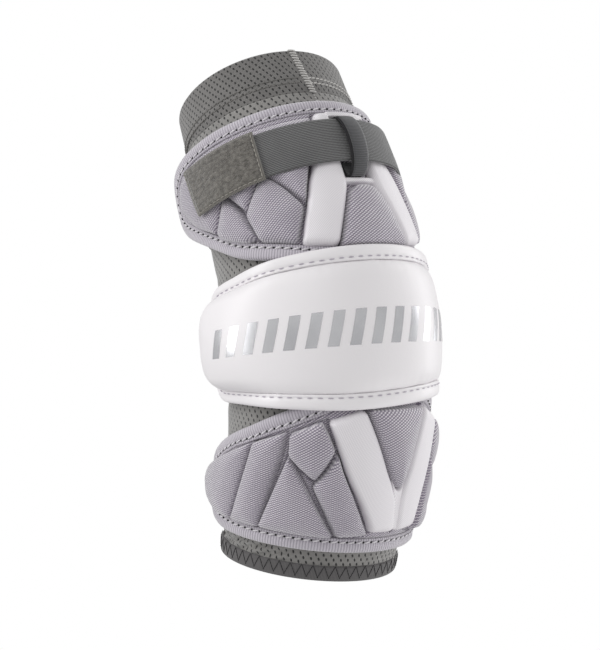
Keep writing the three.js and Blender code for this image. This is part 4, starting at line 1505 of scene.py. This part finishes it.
@dataclass
class Strap:
    """The elastic strap, its brushed tab and the keeper loop."""

    library: Library
    low: float = 78.0
    high: float = 107.6
    on_cells: float = 14.1
    pulled: float = 10.4
    on_tape: float = 8.4
    leaves: float = 130.0  # the turn where it runs off the pad straight to the sleeve
    lands: float = 160.0

    KEEPER_HALF = 4.3
    KEEPER_THICKNESS = 1.0
    # The keeper's path: distance along the arm, and height over the strap's outer face
    KEEPER_PATH = (
        (107.8, -7.2), (108.2, -4.7), (108.3, -2.2), (107.8, -0.1), (106.4, 0.7), (103.4, 2.3),
        (97.5, 3.8), (90.0, 3.9), (83.0, 2.9), (77.5, 1.1), (73.4, -1.5), (71.0, -4.0),
        (70.3, -5.6), (70.9, -6.9), (72.6, -7.2), (76.0, -7.0), (80.0, -7.2),
    )

    def height(self, turn: Array) -> Array:
        """Its inner face: on the cells, on the tape, then straight to the sleeve and along it.

        Args:
            turn: Turns in degrees.

        Returns:
            Heights over the sleeve.
        """
        turn = np.asarray(turn, float)
        drawn = self.on_cells + (self.pulled - self.on_cells) * ease(turn, 18, 48)
        on_pad = drawn + (self.on_tape - self.pulled) * ease(turn, 99, 121)
        rest = np.radians(np.clip(self.lands - turn, 0, 40))
        loose = Arm.girth((self.low + self.high) / 2) * (1 / np.cos(rest) - 1) + 0.3
        lift = UPPER_PAD.lift(np.minimum(turn, 0))
        return np.where(turn < self.leaves, on_pad, loose) + lift

    def press(self, turn: Array, along: Array) -> Array:
        """How high the foam may stand.

        Args:
            turn: Turns in degrees.
            along: Distances along the middle line.

        Returns:
            Heights over the sleeve: the strap's under it, and well above the foam elsewhere.
        """
        inside = ease(along, self.low - 3.5, self.low - 0.5)
        inside = inside * (1 - ease(along, self.high + 0.5, self.high + 3.5))
        return self.height(turn) - 0.25 + 12 * (1 - inside)

    def _band(self, name: str, form: BandForm, finish: str, slot: str) -> Object:
        """A band laid round the pad on the strap's own path.

        Args:
            name: The object's name.
            form: Its measures.
            finish: Its material.
            slot: Its material slot.

        Returns:
            The band.
        """
        surface = Surface()
        surface.grid(*form.points(self.height), (False, True))
        return surface.build(name, self.library[finish], slot)

    def build(self) -> None:
        """The strap, the tab with its stitches, and the keeper."""
        form = BandForm(-54, 242, self.low, self.high, 1.8)
        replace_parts(self._band("strap_webbing", form, "strap webbing", "webbing"), "strap")
        low, high = self.low - 1.6, self.high + 2.2
        form = BandForm(-95.5, -52, low, high, 1.7, 1.9, 0.4, 3.6)
        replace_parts(self._band("tab_tape", form, "tab tape", "hook_tape"), "hook_tab")
        form = BandForm(-94.1, -53.6, low + 1.9, high - 1.4, 0.9, 3.05, 0.25, 3.4)
        self._band("tab_nap", form, "hook nap", "hook_tape")
        self._tab_stitches(low + 1.5, high - 1.5)
        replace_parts(self._keeper_ply("keeper_ribbon", "keeper webbing", 0.0, 0.0), "keeper_loop")
        # The inner ply is near-black: painted shade in the gap under the bowed ribbon, showing
        # beside its outer ply.
        self._keeper_ply("keeper_ply_in_painted_shade", "painted shade and dark thread", 0.8, -1.0)

    def _tab_stitches(self, low: float, high: float) -> None:
        """The row sewn just inside the tab's lower edge and ends.

        Args:
            low: Its lower run's place along the arm.
            high: Where it starts and stops.
        """
        corners = np.array([(-94.7, high), (-91.3, low), (-53.2, low), (-53.2, high)])
        turn, along = np.concatenate([
            np.linspace(a, b, 30) for a, b in zip(corners, corners[1:])
        ]).T
        thread = Surface()
        StitchStyle(3.4, 2.5, 0.36, 0.3).sew(ArmPath(turn, along, self.height(turn) + 3.5), thread)
        thread.build("tab_stitches", self.library["tab thread"], "hook_tape")

    def _keeper_ply(self, name: str, finish: str, below: float, aside: float) -> Object:
        """One ply of the ribbon that crosses the strap and turns under it.

        Args:
            name: The object's name.
            finish: Its material.
            below: How far it lies under the outer ply.
            aside: Turn by which it shows beside it.

        Returns:
            The ply.
        """
        path = np.array(self.KEEPER_PATH) + (0, self.on_cells + 2.1)
        fine, key = np.linspace(0, 1, 90), np.linspace(0, 1, len(path))
        rough = [np.pad(np.interp(fine, key, row), 3, mode="edge") for row in path.T]
        along, height = (np.convolve(row, np.ones(7) / 7, "valid") for row in rough)
        run = np.stack([np.gradient(along), np.gradient(height)], -1)
        run /= np.linalg.norm(run, axis=1)[:, None]
        sway = 2.2 * np.sin(math.pi * fine) - 1.6 - 2.4 * fine
        width = np.linspace(-1, 1, 9)
        layers = []
        for out, spread in ((0.0, width[None]), (self.KEEPER_THICKNESS, width[None, ::-1])):
            half = self.KEEPER_HALF * (1 - 0.12 * fine[:, None])
            turn = UPPER_PAD.shift + aside + sway[:, None] + half * spread
            over = (height - below - run[:, 0] * out)[:, None] - 0.35 * spread**2 + 0.5
            layers.append(Arm.point(turn, (along + run[:, 1] * out)[:, None], over))
        round_it = np.concatenate([width, width[::-1], [-1]]) * 5.6
        reach = walked(np.stack([along, height], -1))
        surface = Surface()
        surface.grid(np.concatenate(layers, 1), table(reach, round_it), (False, True))
        return surface.build(name, self.library[finish], "webbing")


# The sleeve


@dataclass
class Sleeve:
    """The mesh sleeve with its collar, hem band, seam and stitch rows."""

    library: Library
    rim: float = 167.4
    dip: float = 8.0
    peak: float = -35.0
    collar_low: float = 137.0
    hem: float = -140.0
    hem_high: float = -131.5

    TURNS = np.linspace(-180, 180, 361)
    STEP_RUN = 7.0
    CROOK = (2.2, 52.0, 23.0)  # its folds' depth, how far they reach along, their pitch
    WRINKLE = (3.0, -125, 7.0)  # the hem wrinkles' depth, place along and reach
    SEAM_TURNS = (-13.0, -8.0)  # at the rim and at the collar's foot
    RUNGS = 17

    def rim_at(self, turn: Array) -> Array:
        """The rim's distance along the arm."""
        return self.rim - self.dip * (1 - np.cos(np.radians(turn - self.peak))) / 2

    @classmethod
    def fold(cls, turn: Array, along: Array) -> Array:
        """Soft folds across the crook of the elbow, and slanting ones near the hem.

        Args:
            turn: Turns in degrees.
            along: Distances along the middle line.

        Returns:
            What they add to the height.
        """
        depth, reach, pitch = cls.CROOK
        crook = ease(-np.cos(np.radians(turn)), 0.25, 1.0) * bell(along, reach)
        crease = np.abs(np.sin(along * math.pi / pitch + 0.9 * np.sin(np.radians(turn) * 3)))
        folds = -depth * crook * (1 - crease) ** 1.5
        depth, place, reach = cls.WRINKLE
        low = bell(along - place, reach) * ease(np.cos(np.radians(turn + 98)), 0.5, 0.95)
        slant = -depth * low * (0.5 + 0.5 * np.sin(along * 1.05 - turn * 0.34))
        return folds + slant + 0.1 * ripple(turn, along, 14.0)

    def _shell(self, name: str, finish: str, slot: str, low: Array, high: Array, outer: float,
               wall: float, rows: int, step: float, folded: bool = False) -> Object:
        """A band of cloth all round the arm.

        Args:
            name: The object's name.
            finish: Its material.
            slot: Its material slot.
            low: Its lower edge, one for all turns or for each.
            high: Its upper edge, the same way.
            outer: Height of its outer face.
            wall: Its thickness.
            rows: Rows of quads up its outer face.
            step: Height of its outer face at its lower edge.
            folded: Whether the sleeve's folds run through it.

        Returns:
            The band.
        """
        turns = self.TURNS[:-1, None]
        low, high = (np.broadcast_to(a, len(turns))[:, None] for a in (low, high))
        edge = wall / 2
        angle = np.linspace(math.pi / 2, -math.pi / 2, 7)[1:-1]
        out, up = edge * np.cos(angle)[None], edge * np.sin(angle)
        body = low + edge + (high - low - wall) * np.linspace(0, 1, rows)
        inner = body[:, ::-4]
        along = np.concatenate([body, high - edge + out, inner, low + edge - out], 1)
        height = np.concatenate([
            np.full(rows, outer), outer - edge + up, np.full(inner.shape[1], outer - wall),
            outer - edge - up,
        ]) + (step - outer) * (1 - ease(along - low, 0, self.STEP_RUN))
        if folded:
            height = height + self.fold(turns, along)
        flat = np.pad(along, ((0, 1), (0, 1)), mode="wrap")
        around = np.broadcast_to(self.TURNS[:, None] * float(Arm.degree(90)), flat.shape)
        surface = Surface()
        surface.grid(Arm.point(turns, along, height), np.stack([around, flat], -1), (True, True))
        return surface.build(name, self.library[finish], slot)

    def build(self) -> None:
        """The three bands of cloth and all that is sewn on them."""
        body = self._shell(
            "sleeve_mesh", "sleeve mesh", "knit", self.hem_high, self.collar_low, 0.0, 1.3, 190,
            0.0, True,
        )
        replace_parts(body, "sleeve_upper_arm", "sleeve_elbow", "sleeve_forearm")
        rim = self.rim_at(self.TURNS[:-1])
        collar = self._shell(
            "collar_mesh", "collar mesh", "knit", self.collar_low - 1.5, rim, 1.1, 2.4, 40, 0.12
        )
        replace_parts(collar, "collar")
        hem = self._shell(
            "hem_elastic_band", "hem elastic", "hem_elastic", self.hem, self.hem_high + 1.0, 1.3,
            2.6, 16, 1.3,
        )
        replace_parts(hem, "hem_band")
        self._coverstitch()
        self._ladder()
        self._zigzag()

    def _coverstitch(self) -> None:
        """Two rows round the collar, light on one side of the seam and dark on the other."""
        style = StitchStyle(3.1, 2.9, 0.55, 0.12, 0.3)
        for side, start, stop, finish in (
            ("right", -8.5, 172.0, "seam thread"), ("left", -188.0, -14.5, "shadow thread"),
        ):
            thread = Surface()
            turn = np.linspace(start, stop, 200)
            row = self.rim_at(turn) - 21.5 + np.cos(np.radians(turn + 40))
            for gap in (0.0, 3.6):
                style.sew(ArmPath(turn, row - gap, 1.08), thread)
            thread.build(f"collar_rows_{side}", self.library[finish], "knit")

    def _ladder(self) -> None:
        """The flatlock seam: rungs close together down the collar, then a few loose knots."""
        thread = Surface()
        first, last = self.SEAM_TURNS
        start, stop = float(self.rim_at(first)) - 0.4, self.collar_low - 1.0
        arch = np.sin(np.linspace(0, math.pi, 7))
        for share in np.linspace(0, 1, self.RUNGS):
            half = 2.6 if share else 2.9
            turn = first + (last - first) * share + np.linspace(-half, half, 7)
            along = start + (stop - start) * share + np.linspace(0.35, -0.35, 7)
            ArmPath(turn, along, 1.1 + 0.35 * arch).thread(thread, 0.66)
        bow = 0.1 + 0.3 * np.sin(np.linspace(0, math.pi, 5))
        for k in range(4):
            turn = -7.6 + 0.5 * k + np.linspace(-0.7, 0.7, 5)
            ArmPath(turn, self.collar_low - 3.2 - 2.1 * k, bow).thread(thread, 0.45)
        for k in range(6):
            turn = 31 + 0.4 * (-1) ** k + np.linspace(-0.9, 0.9, 5)
            along = self.hem_high + 1.4 + 2.0 * k + np.linspace(-0.3, 0.3, 5)
            ArmPath(turn, along, bow).thread(thread, 0.4)
        thread.build("collar_ladder_seam", self.library["seam thread"], "knit")

    def _zigzag(self) -> None:
        """The dark zigzag that holds the hem band, with a knot at each lower point."""
        thread = Surface()
        turn = np.linspace(-180, 180, 103) + 1.0
        low, high = self.hem + 2.3, self.hem_high + 1.2
        along = np.where(np.arange(len(turn)) % 2 == 0, high, low)
        share = np.linspace(-0.03, 1.03, 6)
        lift = 1.32 + 0.12 * np.sin(math.pi * np.clip(share, 0, 1))
        for a in range(len(turn) - 1):
            run = [row[a] + (row[a + 1] - row[a]) * share for row in (turn, along)]
            ArmPath(*run, lift).thread(thread, 0.2, 5)
            knot = turn[a + 1] if a % 2 == 0 else turn[a]
            ArmPath(knot + np.array([-0.35, 0, 0.35]), low, 1.35).thread(thread, 0.36)
        thread.build("hem_zigzag", self.library["painted shade and dark thread"], "hem_elastic")


# The studio


def compass(azimuth: float, elevation: float) -> Vector:
    """The direction away from the part at an azimuth and elevation in degrees."""
    a, e = math.radians(azimuth), math.radians(elevation)
    return Vector((math.sin(a) * math.cos(e), -math.cos(a) * math.cos(e), math.sin(e)))


@dataclass(frozen=True)
class SoftBox:
    """One area light, placed by compass round the part."""

    name: str
    azimuth: float
    elevation: float
    distance: float
    size: tuple[float, float]
    power: float

    def build(self) -> None:
        """Places the light, pointing at the part's middle."""
        light = bpy.data.lights.new(self.name, "AREA")
        light.shape = "RECTANGLE"
        light.size, light.size_y = self.size
        light.energy = self.power
        away = compass(self.azimuth, self.elevation)
        obj = link(self.name, light)
        obj.location = away * self.distance
        obj.rotation_euler = away.to_track_quat("Z", "Y").to_euler()


@dataclass
class Studio:
    """Camera, lights and a pale backdrop."""

    azimuth: float = -40.0
    distance: float = 1.1
    scale: float = 0.00062  # metres for each pixel of the photograph, at the part
    picture_height: float = 650.0
    offset: tuple[float, float] = (-21, 10)  # the view's middle, in those pixels
    sensor: float = 36.0
    bounce: float = 0.6
    ambient: float = 0.5
    lights: tuple[SoftBox, ...] = (
        SoftBox("left_light", -118, 20, 1.5, (0.7, 1.4), 10.5),
        SoftBox("right_light", 76, 18, 1.5, (0.8, 1.6), 9.0),
        SoftBox("front_light", -50, 46, 1.6, (0.9, 0.9), 4.0),
        SoftBox("low_light", 36, -38, 1.3, (1.0, 1.0), 4.0),
    )

    SIDES = 96
    # The backdrop's radius and level from its middle out and up
    PROFILE = (
        (0.001, -1.3), (1.2, -1.3), (2.2, -1.3), (2.5, -1.24), (2.62, -1.1), (2.7, -0.9),
        (2.7, 3.0),
    )

    def build_camera(self) -> None:
        """The camera that matches the photograph's view."""
        away = compass(self.azimuth, 0)
        right, up = compass(self.azimuth + 90, 0), Vector((0, 0, 1))
        data = bpy.data.cameras.new("camera")
        data.sensor_width = self.sensor
        data.lens = self.distance / self.scale * self.sensor / self.picture_height
        data.clip_start, data.clip_end = 0.05, 20.0
        camera = link("camera", data)
        shift = right * self.offset[0] + up * self.offset[1]
        camera.location = away * self.distance + shift * self.scale
        camera.rotation_euler = away.to_track_quat("Z", "Y").to_euler()
        bpy.context.scene.camera = camera

    def build_set(self) -> None:
        """The backdrop, lights and world."""
        material, g = empty_material("studio paper")
        seen = g.node("ShaderNodeLightPath").outputs["Is Camera Ray"]
        glow = g.math("MULTIPLY_ADD", seen, 1.0 - self.bounce, self.bounce)
        paper = g.node("ShaderNodeEmission", {"Color": (1, 1, 1, 1), "Strength": glow})
        g.node("ShaderNodeOutputMaterial", {"Surface": paper.outputs[0]})
        angle = np.linspace(0, FULL_TURN, self.SIDES, endpoint=False)
        points = [(r * math.cos(t), r * math.sin(t), z) for t in angle for r, z in self.PROFILE]
        rings = len(self.PROFILE)
        faces = [
            (a + j, a + j + 1, b + j + 1, b + j)
            for a in range(0, len(points), rings)
            for b in ((a + rings) % len(points),)
            for j in range(rings - 1)
        ]
        mesh = bpy.data.meshes.new("studio_backdrop")
        mesh.from_pydata(points, [], faces)
        mesh.materials.append(material)
        mesh.polygons.foreach_set("use_smooth", np.ones(len(mesh.polygons), bool))
        link("studio_backdrop", mesh)
        for light in self.lights:
            light.build()
        world = bpy.data.worlds.new("studio")
        world.use_nodes = True
        background = world.node_tree.nodes["Background"].inputs
        background["Color"].default_value = (1, 1, 1, 1)
        background["Strength"].default_value = self.ambient
        bpy.context.scene.world = world
        bpy.context.scene.view_settings.view_transform = "Standard"


def main() -> None:
    """Builds the scene."""
    logging.basicConfig(level=logging.INFO)
    studio = Studio()
    studio.build_camera()
    studio.build_set()
    library = Library()
    Sleeve(library).build()
    strap = Strap(library)
    centre = [UPPER_PAD.shifted(*at) for at in UPPER_CENTRE]
    upper = FoamPad("upper", UPPER_PAD, library, UPPER_CELLS, centre, UPPER_BARS, strap.press)
    centre = [LOWER_PAD.place(*at) for at in LOWER_CENTRE]
    lower = FoamPad("lower", LOWER_PAD, library, LOWER_CELLS, centre, LOWER_BARS)
    for pad in (upper, lower):
        pad.build_face()
        pad.build_binding()
    for pad in (upper, lower):
        pad.build_frame()
    cap = ElbowCap(library)
    cap.build_body()
    cap.build_binding()
    cap.build_foil()
    strap.build()


if __name__ == "__main__":
    main()
